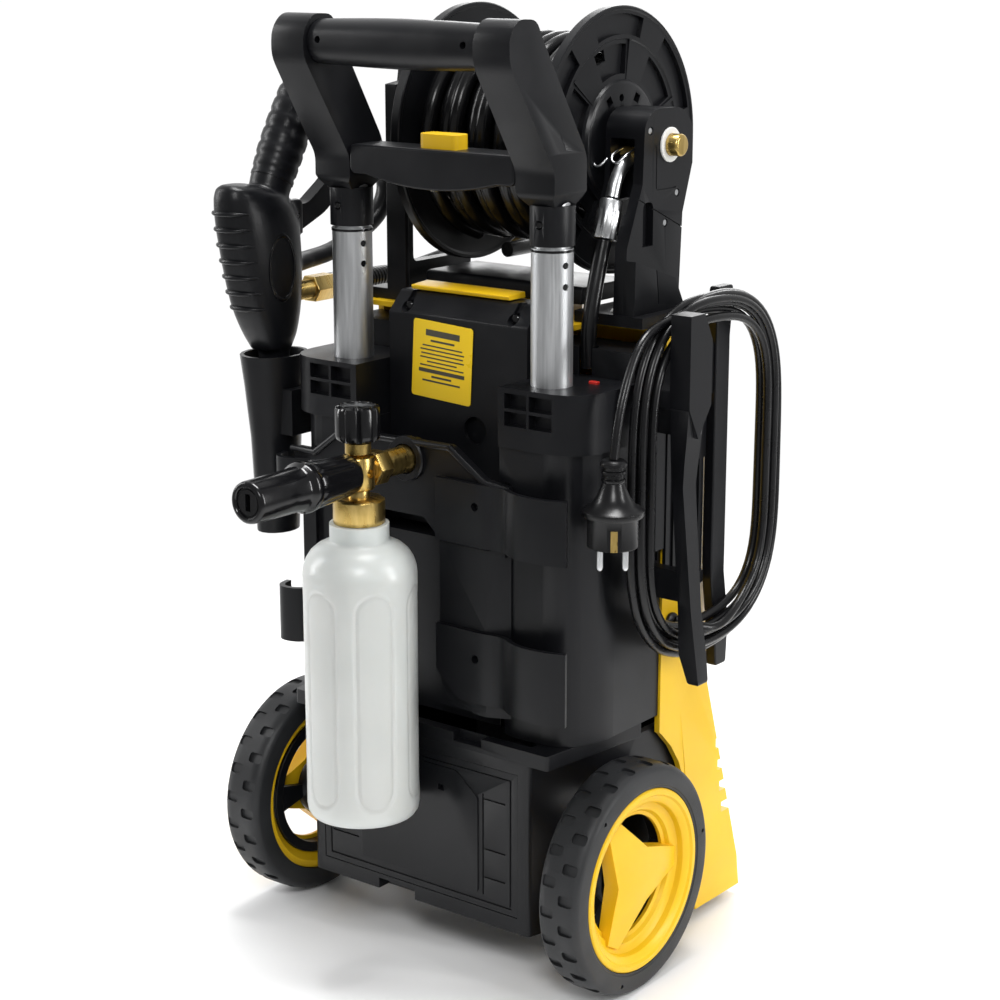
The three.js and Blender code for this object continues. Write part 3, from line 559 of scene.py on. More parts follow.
FLOOR_HALF = 6.0
FLOOR_FADE = (0.55, 1.35)            # metres from the middle: solid inside, gone outside
BEHIND = (-0.61, 0.79, 0)            # level direction the camera looks in
LIGHT_TARGET = (0, 0, 0.42)
LIGHTS = {                           # place, size and watts
    "key": ((1.5, -1.9, 2.1), (0.7, 0.7), 34),
    "left": ((-2.2, -0.9, 1.2), (0.3, 1.8), 26),
    "right": ((2.3, 0.7, 1.1), (0.3, 1.8), 34),
    "top": ((0.0, 0.2, 2.6), (1.2, 0.5), 52),
    "back": ((-1.2, 2.4, 1.6), (1.4, 1.4), 22),
}


def direction(tree, output, operation):
    """A texture coordinate measured by a vector operation."""
    node = tree.nodes.new("ShaderNodeVectorMath")
    node.operation = operation
    tree.links.new(tree.nodes.new("ShaderNodeTexCoord").outputs[output], node.inputs[0])
    return node


def make_stage():
    """A pale floor that fades into a surround, brighter behind the object than in front."""
    mesh = bpy.data.meshes.new("floor")
    corners = [(x * FLOOR_HALF, y * FLOOR_HALF, 0) for x, y in ((-1, -1), (1, -1), (1, 1), (-1, 1))]
    mesh.from_pydata(corners, [], [(0, 1, 2, 3)])
    floor = linked("floor", mesh)
    mat, tree, bsdf = shader("floor", (0.9, 0.9, 0.9), 0.55, specular=0.2)
    tint(tree, bsdf, noise(tree, 3, 2), (0.90, 0.90, 0.90), (0.93, 0.93, 0.93))
    away = direction(tree, "Object", "LENGTH").outputs["Value"]
    tree.links.new(remap(tree, away, 1.0, 0.0, *FLOOR_FADE), bsdf.inputs["Alpha"])
    mesh.materials.append(mat)
    world = bpy.data.worlds.new("studio")
    world.use_nodes = True
    tree = world.node_tree
    background = tree.nodes["Background"]
    fill(background, Color=(1, 1, 1, 1))
    toward = direction(tree, "Generated", "DOT_PRODUCT")
    toward.inputs[1].default_value = BEHIND
    tree.links.new(remap(tree, toward.outputs["Value"], 0.32, 1.02, 0.1, 0.8), background.inputs["Strength"])
    bpy.context.scene.world = world
    bpy.context.scene.view_settings.view_transform = "Standard"
    for name, (at, size, power) in LIGHTS.items():
        area_light(name, at, LIGHT_TARGET, size, power)


# ---------- cords and hoses ----------
CORD_R = 3.5
HOSE_R = 6.3
GLAND = span("cord_gland")
COIL = span("mains_cord_coil")
PLUG = span("plug_body")
REEL_COIL = span("reel_hose_coil")
STRAIN = span("gun_strain_relief")
TAIL_ROUTE = [(164, -51.6, 525.7), (164.5, -60, 519), (165, -70, 510), (167, -81, 496),
              (168, -90, 479), (168, -97, 462), (168, -100, 446), (168, -101, 433.4)]
HOSE_ROUTE = [(-178, 50.4, 520), (-178, 72, 521), (-176, 96, 525), (-168, 122, 531),
              (-152, 143, 538), (-130, 157, 544), (-104, 163, 549), (-78, 158, 552), (-58, 142, 553.5),
              (-46, 118, 554.5), (-40, 90, 555), (-38, 62, 555), (-38, 38, 555)]


def band_outline(y0, y1, z0, z1, r):
    """The bundle's rounded outline as a function of turns from its lowest point."""
    y, z = (y0 + y1) / 2, (z0 + z1) / 2
    corners = [(y1, z0), (y1, z1), (y0, z1), (y0, z0)]
    flat = [(y, z0), (y1, z), (y, z1), (y0, z)]

    def at(turn):
        u = (turn % 1) * 4
        i = int(u) % 4
        t = u - int(u)
        a, corner, b = Vector(flat[i]), Vector(corners[i]), Vector(flat[(i + 1) % 4])
        ra = min(r, (a - corner).length)
        rb = min(r, (b - corner).length)
        start = corner + (a - corner).normalized() * ra
        end = corner + (b - corner).normalized() * rb
        if t < 0.15:
            return a.lerp(start, t / 0.15)
        if t > 0.85:
            return end.lerp(b, (t - 0.85) / 0.15)
        s = (t - 0.15) / 0.7
        return start * (1 - s) ** 2 + corner * 2 * s * (1 - s) + end * s * s

    return at


def mains_path(turns):
    """Gland, loose loops round the hooks, and the tail down to the plug."""
    edge = CORD_R + 0.6
    band = 39.5
    outer = band_outline(COIL.y0 + edge, COIL.y1 - edge, COIL.z0 + edge, COIL.z1 - edge, 101)
    inner = band_outline(COIL.y0 + band - edge, COIL.y1 - band + edge, COIL.z0 + band + 2 - edge,
                         COIL.z1 - band - 2 + edge, 52)
    low_x, high_x = COIL.x0 + edge, COIL.x1 - edge
    lanes = [(0.15, 1.0), (0.55, 0.9), (0.9, 0.75), (0.3, 0.1), (0.7, 0.15), (1.0, 0.2), (0.45, 0.5),
             (0.96, 0.9), (1.0, 0.95)]
    start, finish = 0.1, 0.6
    total = turns + finish - start
    steps = int(total * 56)
    loop = []
    for k in range(steps + 1):
        along = k / steps * total
        lane = min(along, len(lanes) - 1.001)
        i, t = int(lane), lane - int(lane)
        t = eased(t)
        depth = lanes[i][0] * (1 - t) + lanes[i + 1][0] * t
        side = lanes[i][1] * (1 - t) + lanes[i + 1][1] * t
        depth += 0.1 * math.sin(along * 2 * math.pi * 0.83 + 1.3) * (1 - abs(2 * along / total - 1))
        depth = max(0.0, min(1.0, depth))
        p = inner(start + along).lerp(outer(start + along), depth)
        loop.append(Vector((low_x + (high_x - low_x) * side, p.x, p.y)))
    return loop


def relaxed(path, passes=12):
    """The path with its kinks eased; the ends stay."""
    path = [Vector(p) for p in path]
    for _ in range(passes):
        path = [path[0], *[(a + 2 * b + c) / 4 for a, b, c in zip(path, path[1:], path[2:])], path[-1]]
    return path


def evenly(path, step):
    """Points along the path about step apart."""
    path = [Vector(p) for p in path]
    out, left = [path[0]], step
    for a, b in zip(path, path[1:]):
        length = (b - a).length
        at = left
        while at < length:
            out.append(a.lerp(b, at / length))
            at += step
        left = at - length
    if (out[-1] - path[-1]).length < step / 2:
        out.pop()
    return [*out, path[-1]]


def mains_cord():
    g = GLAND
    loop = mains_path(6)
    lead = smooth_path([(g.x1 - 0.2, g.y, g.z), (g.x1 + 9, g.y + 0.5, g.z - 0.5),
                        (g.x1 + 19, g.y + 6, g.z - 3), (g.x1 + 24.5, g.y + 19, g.z - 7),
                        (g.x1 + 22, g.y + 34, g.z - 9)], 6)
    path = relaxed(evenly([*lead, *loop[1:], *smooth_path(TAIL_ROUTE, 5)], 8), 10)
    cord = line_curve("mains_cord", path, CORD_R, "cord_black", "root")
    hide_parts("mains_cord_coil", "mains_cord_tail")
    relief = piece("mains_strain_relief", sweep(path[:5], lambda t: 6.4 - 2.2 * t, 20), slot="cord_black")
    return cord, path, relief


HOSE_LAYERS = ((45.5, 7), (62.0, 8), (79.0, 8.5))     # radius and number of turns
HOSE_STEPS = 40                                       # points in a turn
HOSE_R_MAX = 81.4


def reel_hose():
    """Three layers wound on the core, first from left to right, then back, then across again."""
    half = (REEL_COIL.x1 - REEL_COIL.x0) / 2 - HOSE_R - 1
    y, z = (REEL_COIL.y0 + REEL_COIL.y1) / 2, (REEL_COIL.z0 + REEL_COIL.z1) / 2
    path, angle = [], 0.0
    for layer, (r, n) in enumerate(HOSE_LAYERS):
        steps = int(n * HOSE_STEPS)
        sign = -1 if layer % 2 == 0 else 1
        climb = HOSE_LAYERS[layer + 1][0] - r if layer < 2 else 2.6
        for k in range(steps):
            t = k / steps
            x = sign * half * (2 * t - 1)
            rise = climb * max(0.0, (t - 1 + 0.55 / n) / (0.55 / n))
            wobble = 1.5 * math.sin(angle * 0.37 + layer) + 1.1 * math.sin(angle * 0.73)
            if layer == 2:
                x += 3.2 * math.sin(angle * 0.5 + 0.6)
            rr = min(r + rise + (wobble * 0.6 if layer else 0), HOSE_R_MAX)
            a = math.pi / 2 + angle
            path.append(Vector((max(-half, min(half, x)), y + rr * math.cos(a), z + rr * math.sin(a))))
            angle += 2 * math.pi / HOSE_STEPS
    hose = line_curve("reel_hose", relaxed(path, 3), HOSE_R, "hose_black", "reel")
    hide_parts("reel_hose_coil")
    return hose, path


def make_cords():
    cord, path, relief = mains_cord()
    hose, line = reel_hose()
    tail_line = smooth_path(HOSE_ROUTE, 4)
    tail = line_curve("hose_tail.line", tail_line, HOSE_R, "hose_black", "root")
    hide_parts("hose_tail")


# ---------- small parts ----------
def screw(at, axis, r=3.2, out=1):
    """A pan head screw standing on a face. out is +1 or -1 along the axis."""
    head = lathe([(0, -0.6), (r, -0.6), (r, 0.7), (r * 0.8, 1.3), (0, 1.5)], "z", segments=24)
    if out < 0:
        head = turned_by(head, 180, "X", (0, 0, 0))
    return shifted(moved(head, AXES[axis]), at)


def recess(at, axis, r, depth, out=1, segments=24):
    """A cylinder that cuts a hole of that depth into a face."""
    ends = sorted((-depth * out, 2 * out))
    return rod(r, *ends, axis, at, segments)


def sector(r0, r1, a0, a1, low, high, centre, steps=6):
    """A ring sector from angle a0 to a1 in degrees, standing along X."""
    def arc(r, a, b):
        return [(centre[0] + r * math.cos(math.radians(a + (b - a) * k / steps)),
                 centre[1] + r * math.sin(math.radians(a + (b - a) * k / steps)))
                for k in range(steps + 1)]
    return prism("x", [*arc(r1, a0, a1), *arc(r0, a1, a0)], low, high)


# ---------- handle ----------
def make_handle():
    arm = span("handle_arm_right")
    bar = span("grip_bar")
    cross = span("handle_crossbar")
    for side, sign in (("right", 1), ("left", -1)):
        x = sign * (arm.x0 + arm.x1) / 2
        face = sign * arm.x1
        seam = prism("x", [(-93.4, 655), (-92.6, 655.2), (-137.6, 733), (-138.4, 732.8)],
                     *sorted((face - sign * 0.7, face + sign * 2)))
        low_hole = recess((x - sign * 3, -101.5, 634), "y", 2.6, 7, -1)
        sleeve_screw = recess((x, -102.2, 600), "y", 3.4, 2.0, -1)
        dressed(f"handle_arm_{side}", bevel=0, soften=2.4, cut=[seam, low_hole, sleeve_screw])
        piece(f"sleeve_screw_{side}", screw((x, -100.6, 600), "y", 2.5, -1), "handle", "steel",
              MATERIALS["gloss_black"])
        tube = span(f"inner_tube_{side}")
        r = (tube.x1 - tube.x0) / 2
        piece(f"inner_tube_{side}.skin", hoop(r - 1.6, r, tube.z0, tube.z1, "z", (tube.x, tube.y, 0)),
              "handle", "tube_aluminium", bevel=0.2)
    half, r = bar.x1, (bar.z1 - bar.z0) / 2
    profile = [(0, -half), (r - 2.6, -half), (r - 1.8, -half + 0.8)]
    profile += [(r - 1.8 * (abs(x) / half) ** 1.6, x) for x in
                [-half + 1 + (2 * half - 2) * k / 24 for k in range(25)]]
    profile += [(r - 1.8, half - 0.8), (r - 2.6, half), (0, half)]
    holes = [recess((sign * (half - 11), bar.y0 + 1.5, bar.z + 2), "y", 2.7, 6, -1) for sign in (-1, 1)]
    piece("grip_bar.skin", lathe(profile, "x", (0, bar.y, bar.z), 64), "handle", cut=holes)
    shape = [(-half, cross.z1, 5), (-half, cross.z0 + 8, 6)]
    shape += [(-half * 0.8 + 1.6 * half * k / 12, cross.z0 + 8 * (abs(k / 6 - 1) ** 2)) for k in range(13)]
    shape += [(half, cross.z0 + 8, 6), (half, cross.z1, 5)]
    button = span("release_button")
    pocket = block(button.x0 - 0.5, button.x1 + 0.5, button.y0 - 0.5, button.y1 + 0.5, 630, cross.z1 + 2)
    piece("handle_crossbar.skin", prism("y", shape, cross.y0, cross.y1), "handle", bevel=2.2, segments=4,
          cut=[pocket])
    piece("crossbar_screw", screw((0, cross.y0 + 6, cross.z0 + 0.6), "z", 3.4, -1), "handle", "steel")
    cap = [(button.x0, button.y0, 5), (button.x1, button.y0, 5), (button.x1, button.y1, 5),
           (button.x0, button.y1, 5)]
    bore = rod(6.5, 640, 656, "z", (button.x, button.y, 0), 32)
    piece("release_button.skin", prism("z", cap, button.z0, button.z1), "release_button",
          "cover_yellow", bevel=3.4, segments=5, cut=[bore])
    for side in ("left", "right"):
        t = span(f"outer_tube_{side}")
        r = (t.x1 - t.x0) / 2
        at = (t.x, t.y, 0)
        spots = [(t.x, t.y - 4, t.z1 - drop) for drop in (12, 28)]
        piece(f"outer_tube_{side}.skin", hoop(r - 2, r, t.z0, t.z1, "z", at, 64), "root", "tube_aluminium",
              bevel=0.25, cut=[rod(2.6, 4, 20, "x", spot, 20) for spot in spots])
        piece(f"tube_ring_{side}", hoop(14.4, 16.5, t.z1 - 2.6, t.z1 - 0.6, "z", at, 64), "root",
              "gloss_black", bevel=0.2, add=[rod(2.6, 14.2, 15.2, "x", spot, 20) for spot in spots])


# ---------- hose reel ----------
def flange_shape(f, sign):
    """One flange: dished disc, outer arc pockets, an inner ring of sectors and a raised hub disc."""
    x_in, x_out = (f.x0, f.x1) if sign > 0 else (-f.x1, -f.x0)
    r = (f.z1 - f.z0) / 2
    top = x_out - 2.4
    profile = [(9.4, x_in + 1), *about(r, x_in, [(-5, 1.6), (-3, 0), (-0.8, 0), (0, 0.8)]),
               *about(r, top, [(0, -0.8), (-0.8, 0), (-2.6, 0), (-3.6, -1)]), (79, top - 1), (78, top - 2),
               (48, top - 1), (46.6, top + 1.2), (45, x_out - 0.6), (44, x_out), (9.4, x_out),
               (9.4, x_in + 1)]
    body = lathe(profile, "x", (0, f.y, f.z), 96)
    centre = (f.y, f.z)
    cuts = [sector(r0, r1, a0 + k * 360 / count, a1 + k * 360 / count, low, top + 6, centre, steps)
            for r0, r1, a0, a1, low, count, steps in (
                (82, 98, 12, 52, top - 5, 6, 8), (52, 75, 24, 58, top - 5.4, 6, 6),
                (64, 74, 104, 115, x_in - 6, 3, 3))
            for k in range(count)]
    for degrees in (62, 122, 242):
        a = math.radians(degrees)
        hy, hz = f.y + 37 * math.cos(a), f.z + 37 * math.sin(a)
        square = block(x_out - 5, x_out + 3, hy - 3.4, hy + 3.4, hz - 3.4, hz + 3.4)
        cuts.append(turned_by(square, degrees, "X", (0, hy, hz)))
    a = math.radians(96)
    cuts.append(rod(3, x_out - 5, x_out + 3, "x", (0, f.y + 34 * math.cos(a), f.z + 34 * math.sin(a)), 20))
    ribs = [sector(47, 79, 20.4 + k * 60, 22.2 + k * 60, top - 4, top - 0.6, centre, 1) for k in range(6)]
    flip = Matrix.Diagonal((sign, 1, 1, 1))
    return moved(body, flip), [moved(c, flip) for c in cuts], [moved(c, flip) for c in ribs]


def make_reel():
    for side, sign in (("right", 1), ("left", -1)):
        body, cuts, ribs = flange_shape(span(f"reel_flange_{side}"), sign)
        piece(f"reel_flange_{side}.skin", body, "reel", bevel=0.7, angle=35, cut=cuts, add=ribs)
    core = span("reel_core")
    piece("reel_core.skin", lathe([(0, core.x0), (8.4, core.x0), (9, core.x0 + 0.6), (9, -66.6),
          (38, -66.6), (38, 66.6), (9, 66.6), (9, core.x1 - 0.6), (8.4, core.x1), (0, core.x1)], "x",
          (0, core.y, core.z)), "reel", bevel=0.4)
    dressed("crank_arm", 1.8, 3)
    dressed("crank_grip", 0.8)
    face = BRACKET_FACE_X
    spots = [(12, 662), (34, 590), (50, 612)]
    holes = [recess((face, y, z), "x", 3.2, 2, 1, 20) for y, z in spots]
    seam = [prism("x", [(-4, 612), (60, 584), (60, 583), (-4, 611)], 118.9, 124),
            prism("x", [(8, 566), (9, 566), (14, 530), (13, 530)], 127.9, 134),
            prism("x", [(20, 650, 3), (20, 616, 3), (48, 616, 3), (48, 617, 2), (21, 617, 2), (21, 650, 2)],
                  119.1, 124)]
    dressed("reel_bracket_right", 1.7, 3, cut=[*holes, *seam])
    heads = [screw((face - 1.9, y, z), "x", 2.8) for y, z in spots]
    piece("bracket_head_screws", merged(*heads), "root", "steel")
    dressed("reel_bracket_left", 1.2)
    base = prism("x", [(-12, 526.4, 2), (60, 526.4, 2), (58, 540, 4), (-10, 540, 4)], -85, 73)
    piece("reel_base", base, "root", bevel=1.2)
    cap = span("swivel_cap")
    piece("swivel_washer", lathe([(8.8, 120.35), (13.4, 120.35), (13.4, 121.6), (12.9, 122), (8.8, 122),
          (8.8, 120.35)], "x", (0, cap.y, cap.z), 64), "root", "brass", NYLON)
    piece("swivel_cap.skin", lathe([(0, 120.4), (8.6, 120.4), (8.6, 130.6), (8.1, 131.6), (7.2, 132.3),
          (6.4, 132.5), (0, 132.5)], "x", (0, cap.y, cap.z), 64), "root", "brass")
    pipe = smooth_path([(98, y, z) for y, z in ((24, 640), (14, 639), (4, 632), (-3, 622), (-7, 611.6))], 6)
    piece("bent_pipe.skin", sweep(pipe, 5.4, 32), "root", "steel", angle=60)
    ferrule = lathe([(0, 0), (8.4, 0), (9.2, 0.8), (9.2, 22), (8.8, 23), (8.8, 30.2), (8, 31), (0, 31)], "z",
                    segments=120, ripple=lambda a, h: 0.35 * math.cos(10 * a) if 0.5 < h < 22.5 else 0)
    ferrule = shifted(turned_by(ferrule, -18, "X", (0, 0, 0)), (98, -17, 580.5))
    piece("pipe_ferrule.skin", ferrule, "root", "steel", angle=60)
    feed = [(98, y, z) for y, z in
            ((-17.3, 579.5), (-25, 556), (-32, 532), (-36, 512), (-36, 498), (-35, 484))]
    piece("feed_hose.skin", sweep(smooth_path(feed, 6), HOSE_R, 28), "root", "hose_black")
    fitting = merged(lathe(disc(7, -9, 9, 0.8), "x", (99, 20, 643), 6), lathe(disc(5.4, 0, 12, 0.5), "x",
                     (84, 24, 643), 24))
    piece("swivel_fitting", fitting, "root", "brass", bevel=0.3)
    for i, (x, y, z) in enumerate(((100, 6, 644), (80, 10, 640))):
        bends = ((-6, 6, 4), (-6, -6, 0), (-4, -11, -4), (0, -12, -6), (4, -11, -4), (6, -6, 0), (6, 6, 4))
        clip = smooth_path([(x + dx, y + dy, z + dz) for dx, dy, dz in bends], 6)
        piece(f"wire_clip_{i + 1}", sweep(clip, 0.9, 12), "root", "steel")


# ---------- body ----------
def make_body():
    dressed("base_frame", 1.0)
    c = span("lower_rear_cover")
    face = c.y0
    x0, x1, z0, z1 = c.x0 + 6, c.x1 - 6, c.z0 + 5, c.z1 - 5
    deep = face + 2.4
    grooves = [block(a, b, face - 3, deep, c0, c1) for a, b, c0, c1 in (
        (x0, x1, z1 - 1.6, z1), (x0, x1, z0, z0 + 1.6), (x0, x0 + 1.6, z0, z1), (x1 - 1.6, x1, z0, z1),
        (66, 67.4, z0 + 6, z1 - 18), (67, x1 - 6, 150, 151.4), (67, x1 - 6, 108, 109.4),
        (67, x1 - 6, 84, 85.4), (-92, -64, 112, 113.4), (-92, -64, 84, 85.4))]
    dressed("lower_rear_cover", 0.7, 2, cut=grooves)
    dressed("axle", 0.6)
    for side in ("left", "right"):
        dressed(f"foot_{side}", 0.8)
    screws = [recess((x, -118, z), "y", 3, 5, -1) for x, z in ((84, 332), (-84, 332))]
    dressed("rear_housing", 2.2, 3, cut=screws)
    dressed("front_cover", 1.8, 3)
    cover = span("rear_cover")
    notches = []
    for x in (-54, 52):
        notches.append(recess((x, cover.y0, 521), "y", 5, 9, -1, 28))
        notches.append(prism("x", [(-78, 521), (-67, 521), (-55, 533), (-66, 536)], x - 3, x + 3))
    dressed("rear_cover", 1.3, 3, cut=notches)
    for i, x in enumerate((-54, 52)):
        piece(f"cover_screw_{i + 1}", screw((x, cover.y0 + 8.2, 521), "y", 3.4, -1), "root", "steel",
              MATERIALS["gloss_black"])
    # A near-black matte disc deep in the cover's hole: painted shade standing in for the hole's darkness
    liner = lathe(disc(10.6, -66, -61), "y", (18, 0, 430), 32)
    piece("cover_hole_shade_disc", liner, "root", "gloss_black", SHADOW)
    make_bracket()
    label = span("rating_label")
    dressed("rating_label", 0.3, 2, angle=60)
    bars, z = [], LABEL_BARS_TOP
    for k, (width, height) in enumerate([(34, 5), (24, 1.6), (40, 1.1), (44, 1.1), (42, 1.1), (44, 1.1),
                                         (30, 1.1), (44, 1.1), (46, 3), (20, 1.6), (38, 1.4)]):
        bars.append(block(-width / 2, width / 2, label.y0 - 0.25, label.y0 + 0.3, z - height, z))
        z -= height + (2.9 if k < 2 else 2.1)
    tilt = turned_by(shifted(merged(*bars), (-16, 0, 0)), 3, "Y", (-16, label.y0, 450))
    piece("label_bars", tilt, "root", "label", INK)
    pins = [lathe(disc(2, 100, 113, 0.4), "x", (0, -8, z), 16) for z in (519, 524.5)]
    piece("valve_pins", merged(*pins), "root", "gloss_black", NYLON)
    piece("red_mark", block(118, 126, -64, -60, 477, 480), "root", "gloss_black", RED, bevel=0.6)
    piece("pump_yellow_strip", prism("x", [(-40, 533), (-60, 533), (-62, 536.4, 2), (-40, 538, 2)], -58, 40),
          "root", "cover_yellow", bevel=0.8)
    for node in ("motor", "pump", "control_box"):
        dressed(node, 1.2)
    dressed("power_knob", 1.2, 3)
    dressed("water_inlet", 0.6)
    spring = dressed("release_spring", 0, 0, angle=60)
    coil = span("release_spring")
    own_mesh(spring)


def make_bracket():
    """The plate across the back: lipped top, socket for the lance and springy clips."""
    face, lance_axis = -118, (span("lance_body").x, 0, LANCE_Z)
    top = [(-136, 404), (-112, 404), (-84, 425), (28, 427), (62, 404), (84, 402)]
    plate = prism("y", [(-136, 366), *[(x, z, 4) for x, z in top], (80, 346), (20, 346), (0, 366)],
                  face, face + 5.6)
    lip = []
    for (xa, za), (xb, zb) in zip(top, top[1:]):
        along = (Vector((xb, 0, zb)) - Vector((xa, 0, za))).normalized() * 1.6
        run = [Vector((xa, face - 1.6, za - 1.6)) - along, Vector((xb, face - 1.6, zb - 1.6)) + along]
        lip.append(sweep(run, 2.6, 16))
    pilaster = prism("z", [(16, face + 5.6), (17, face - 1.6), (64, face - 2.6), (82, face + 5.6)], 215, 350)
    foot_cut = prism("y", [(10, 252), (52, 214), (52, 200), (10, 200)], face - 8, face + 0.6)
    facet = prism("y", [(60, 398), (36, 376), (50, 354), (82, 356), (82, 396)], face - 1.6, face + 3)
    wave = [(16, face - 3.6), (40, face - 4.4), (62, face - 4.8), (73, face - 3.0), (83, face - 3.6),
            (93, face - 9), (104, face - 13), (118, face - 13.6), (132, face - 11.6), (144, face - 7.6)]
    left = [(-118, face + 3.4), (-124, face - 1.2), (-132, face - 8), (-142, face - 9.6), (-149, face - 5),
            (-151.5, face + 6)]
    clips = [ribbon(wave, 4.2, low, high) for low, high in ((352, 402), (226, 284))]
    clips += [ribbon(left, 4.2, low, high) for low, high in ((240, 286), (366, 396))]
    left_strip = block(-130, -116, face + 2, face + 5.6, 215, 370)
    socket = lathe([(12, face - 4.2), (17, face - 4.2), (18, face - 3), (18, face + 2), (12, face + 2),
                    (12, face - 4.2)], "y", lance_axis, 64)
    bore = rod(12.2, face - 9, face + 9, "y", lance_axis, 48)
    holes = [recess((x, face - 5, z), "y", r, 9, -1) for x, z, r in
             ((56, 384, 3.4), (56, 262, 3.4), (-60, 412, 2.2), (-100, 392, 2.2))]
    piece("accessory_bracket.skin", plate, "root", bevel=1.3, segments=3, angle=35,
          add=[*lip, pilaster, facet, left_strip, *clips, socket], cut=[foot_cut, bore, *holes])
    liner = hoop(12.1, 16.4, face + 0.2, face + 9, "y", lance_axis, 64)
    screws = [screw((x, face - 1.2, z), "y", 2.9, -1) for x, z in ((56, 384), (56, 262))]
    piece("bracket_screws", merged(*screws), "root", "steel", MATERIALS["gloss_black"])
    piece("socket_liner", liner, "root", "gloss_black", bevel=0.3)


# ---------- wheels ----------
def make_wheels():
    for side, sign in (("right", 1), ("left", -1)):
        t = span(f"tyre_{side}")
        y, z, r = t.y, t.z, (t.z1 - t.z0) / 2
        x_in, x_out = (t.x0, t.x1) if sign > 0 else (-t.x1, -t.x0)
        rim_r = 74.0
        shoulder = [(-6.5, 0), (-4.2, 0.7), (-2.2, 2.4), (-0.8, 5), (-0.1, 8), (0, 11)]
        other = [(dr, -dh) for dr, dh in reversed(shoulder)]
        profile = [(rim_r, x_in), *about(r, x_in, shoulder), *about(r, x_out, other),
                   *about(rim_r, x_out, [(2.4, 0), (1.6, -0.8), (0, -1)]), (rim_r, x_in)]
        hub_at = (0, y, z)
        tyre = lathe(profile, "x", hub_at, 120)
        mid = (x_in + x_out) / 2
        cuts, count = [], 24
        for k in range(count):
            for column in (-1, 1):
                a = (k + (0.5 if column > 0 else 0)) * 360 / count
                near, far = mid + column * 2.0, mid + column * 14.6
                corners = [(near, -4.2, 2.6), (far, -4.2, 2.6), (far, 4.2, 2.6), (near, 4.2, 2.6)]
                pad = prism("z", corners, r - 2.4, r + 4, 3)
                cuts.append(turned_by(shifted(pad, hub_at), a, "X", hub_at))
        for k in range(3):
            pip = recess((x_out, y, z + 84), "x", 1.7, 1.6, 1, 16)
            cuts.append(turned_by(pip, 40 + 120 * k, "X", hub_at))
        rim = [(49, x_out - 19.5), (rim_r - 13, x_out - 19.5),
               *about(rim_r, x_in, [(-13, 9), (-6, 3), (-0.5, 3)]),
               *about(rim_r, x_out, [(-0.5, -1.2), (-1.8, 0), (-5.5, 0), (-7, -1.8), (-11, -3.4), (-12.5, -5),
                                     (-13.5, -9.5), (-16, -11.5), (-20, -12.5), (-22, -15.5)]),
               (49, x_out - 16.5), (49, x_out - 19.5)]
        ring = lathe(rim, "x", hub_at, 120)
        outline = []
        for a in (0, 120, 240):
            for v, w in ((-8, 56.5), (8, 56.5)):
                t = math.radians(a)
                outline.append((v * math.cos(t) + w * math.sin(t), w * math.cos(t) - v * math.sin(t),
                                x_out - 9.5))
            t = math.radians(a + 60)
            outline.append((26 * math.sin(t), 26 * math.cos(t), x_out - 6.5))
        n = len(outline)
        points = [Vector((x_out - 20, v, w)) for v, w, _ in outline]
        points += [Vector((h, v, w)) for v, w, h in outline]
        points.append(Vector((x_out - 1.2, 0, 0)))
        faces = [list(range(n - 1, -1, -1))]
        faces += [[i, (i + 1) % n, n + (i + 1) % n, n + i] for i in range(n)]
        faces += [[n + i, n + (i + 1) % n, 2 * n] for i in range(n)]
        star = turned_by(shifted((points, faces), hub_at), -90, "X", hub_at)
        hub = lathe(disc(15, x_in + 1, x_out - 17), "x", hub_at, 48)
        backing = [sector(20, 62, a, a + 26, x_in + 8, x_in + 14, (y, z), 5) for a in (-13, 107, 227)]
        inner_ring = lathe(about(0, x_in, [(0, 4), (24, 4), (26, 8), (26, 14), (0, 14)]), "x", hub_at, 48)
        outer_ring = hoop(52, 60.6, x_in + 6, x_out - 20, "x", hub_at, 96)
        axle_hole = rod(6.35, x_in - 3, x_out - 6, "x", hub_at, 32)
        if sign < 0:
            half_turn = Matrix.Translation((0, 2 * y, 0)) @ Matrix.Diagonal((-1, -1, 1, 1))
            tyre, ring, star, hub, axle_hole, inner_ring, outer_ring = (
                moved(m, half_turn) for m in (tyre, ring, star, hub, axle_hole, inner_ring, outer_ring))
            cuts = [moved(c, half_turn) for c in cuts]
            backing = [moved(c, half_turn) for c in backing]
        piece(f"tyre_{side}.skin", tyre, f"wheel_{side}", "tyre_rubber", bevel=0.5, angle=35, cut=cuts)
        piece(f"rim_{side}.skin", ring, f"wheel_{side}", "cover_yellow", bevel=0.6, angle=28,
              add=[star, hub], cut=[axle_hole])
        piece(f"wheel_back_{side}", inner_ring, f"wheel_{side}", "housing_black", bevel=0.6,
              add=[*backing, outer_ring], cut=[axle_hole])


# ---------- foam lance ----------
def panel_depth(angle, h):
    """How deep the bottle's upright round-ended panels are at a point, in millimetres."""
    count, half_width, low, high = 6, 15.0, 166, 309
    step = 2 * math.pi / count
    a = (angle + 0.61 + step / 2) % step - step / 2
    u = abs(a) * 44.3
    v = max(low - h, h - high, 0)
    edge = math.hypot(u, v) - half_width
    t = max(0.0, min(1.0, 0.5 - edge / 2.2))
    groove = math.exp(-((edge + 0.4) / 1.1) ** 2)
    return -0.55 * t * t * (3 - 2 * t) - 0.75 * groove


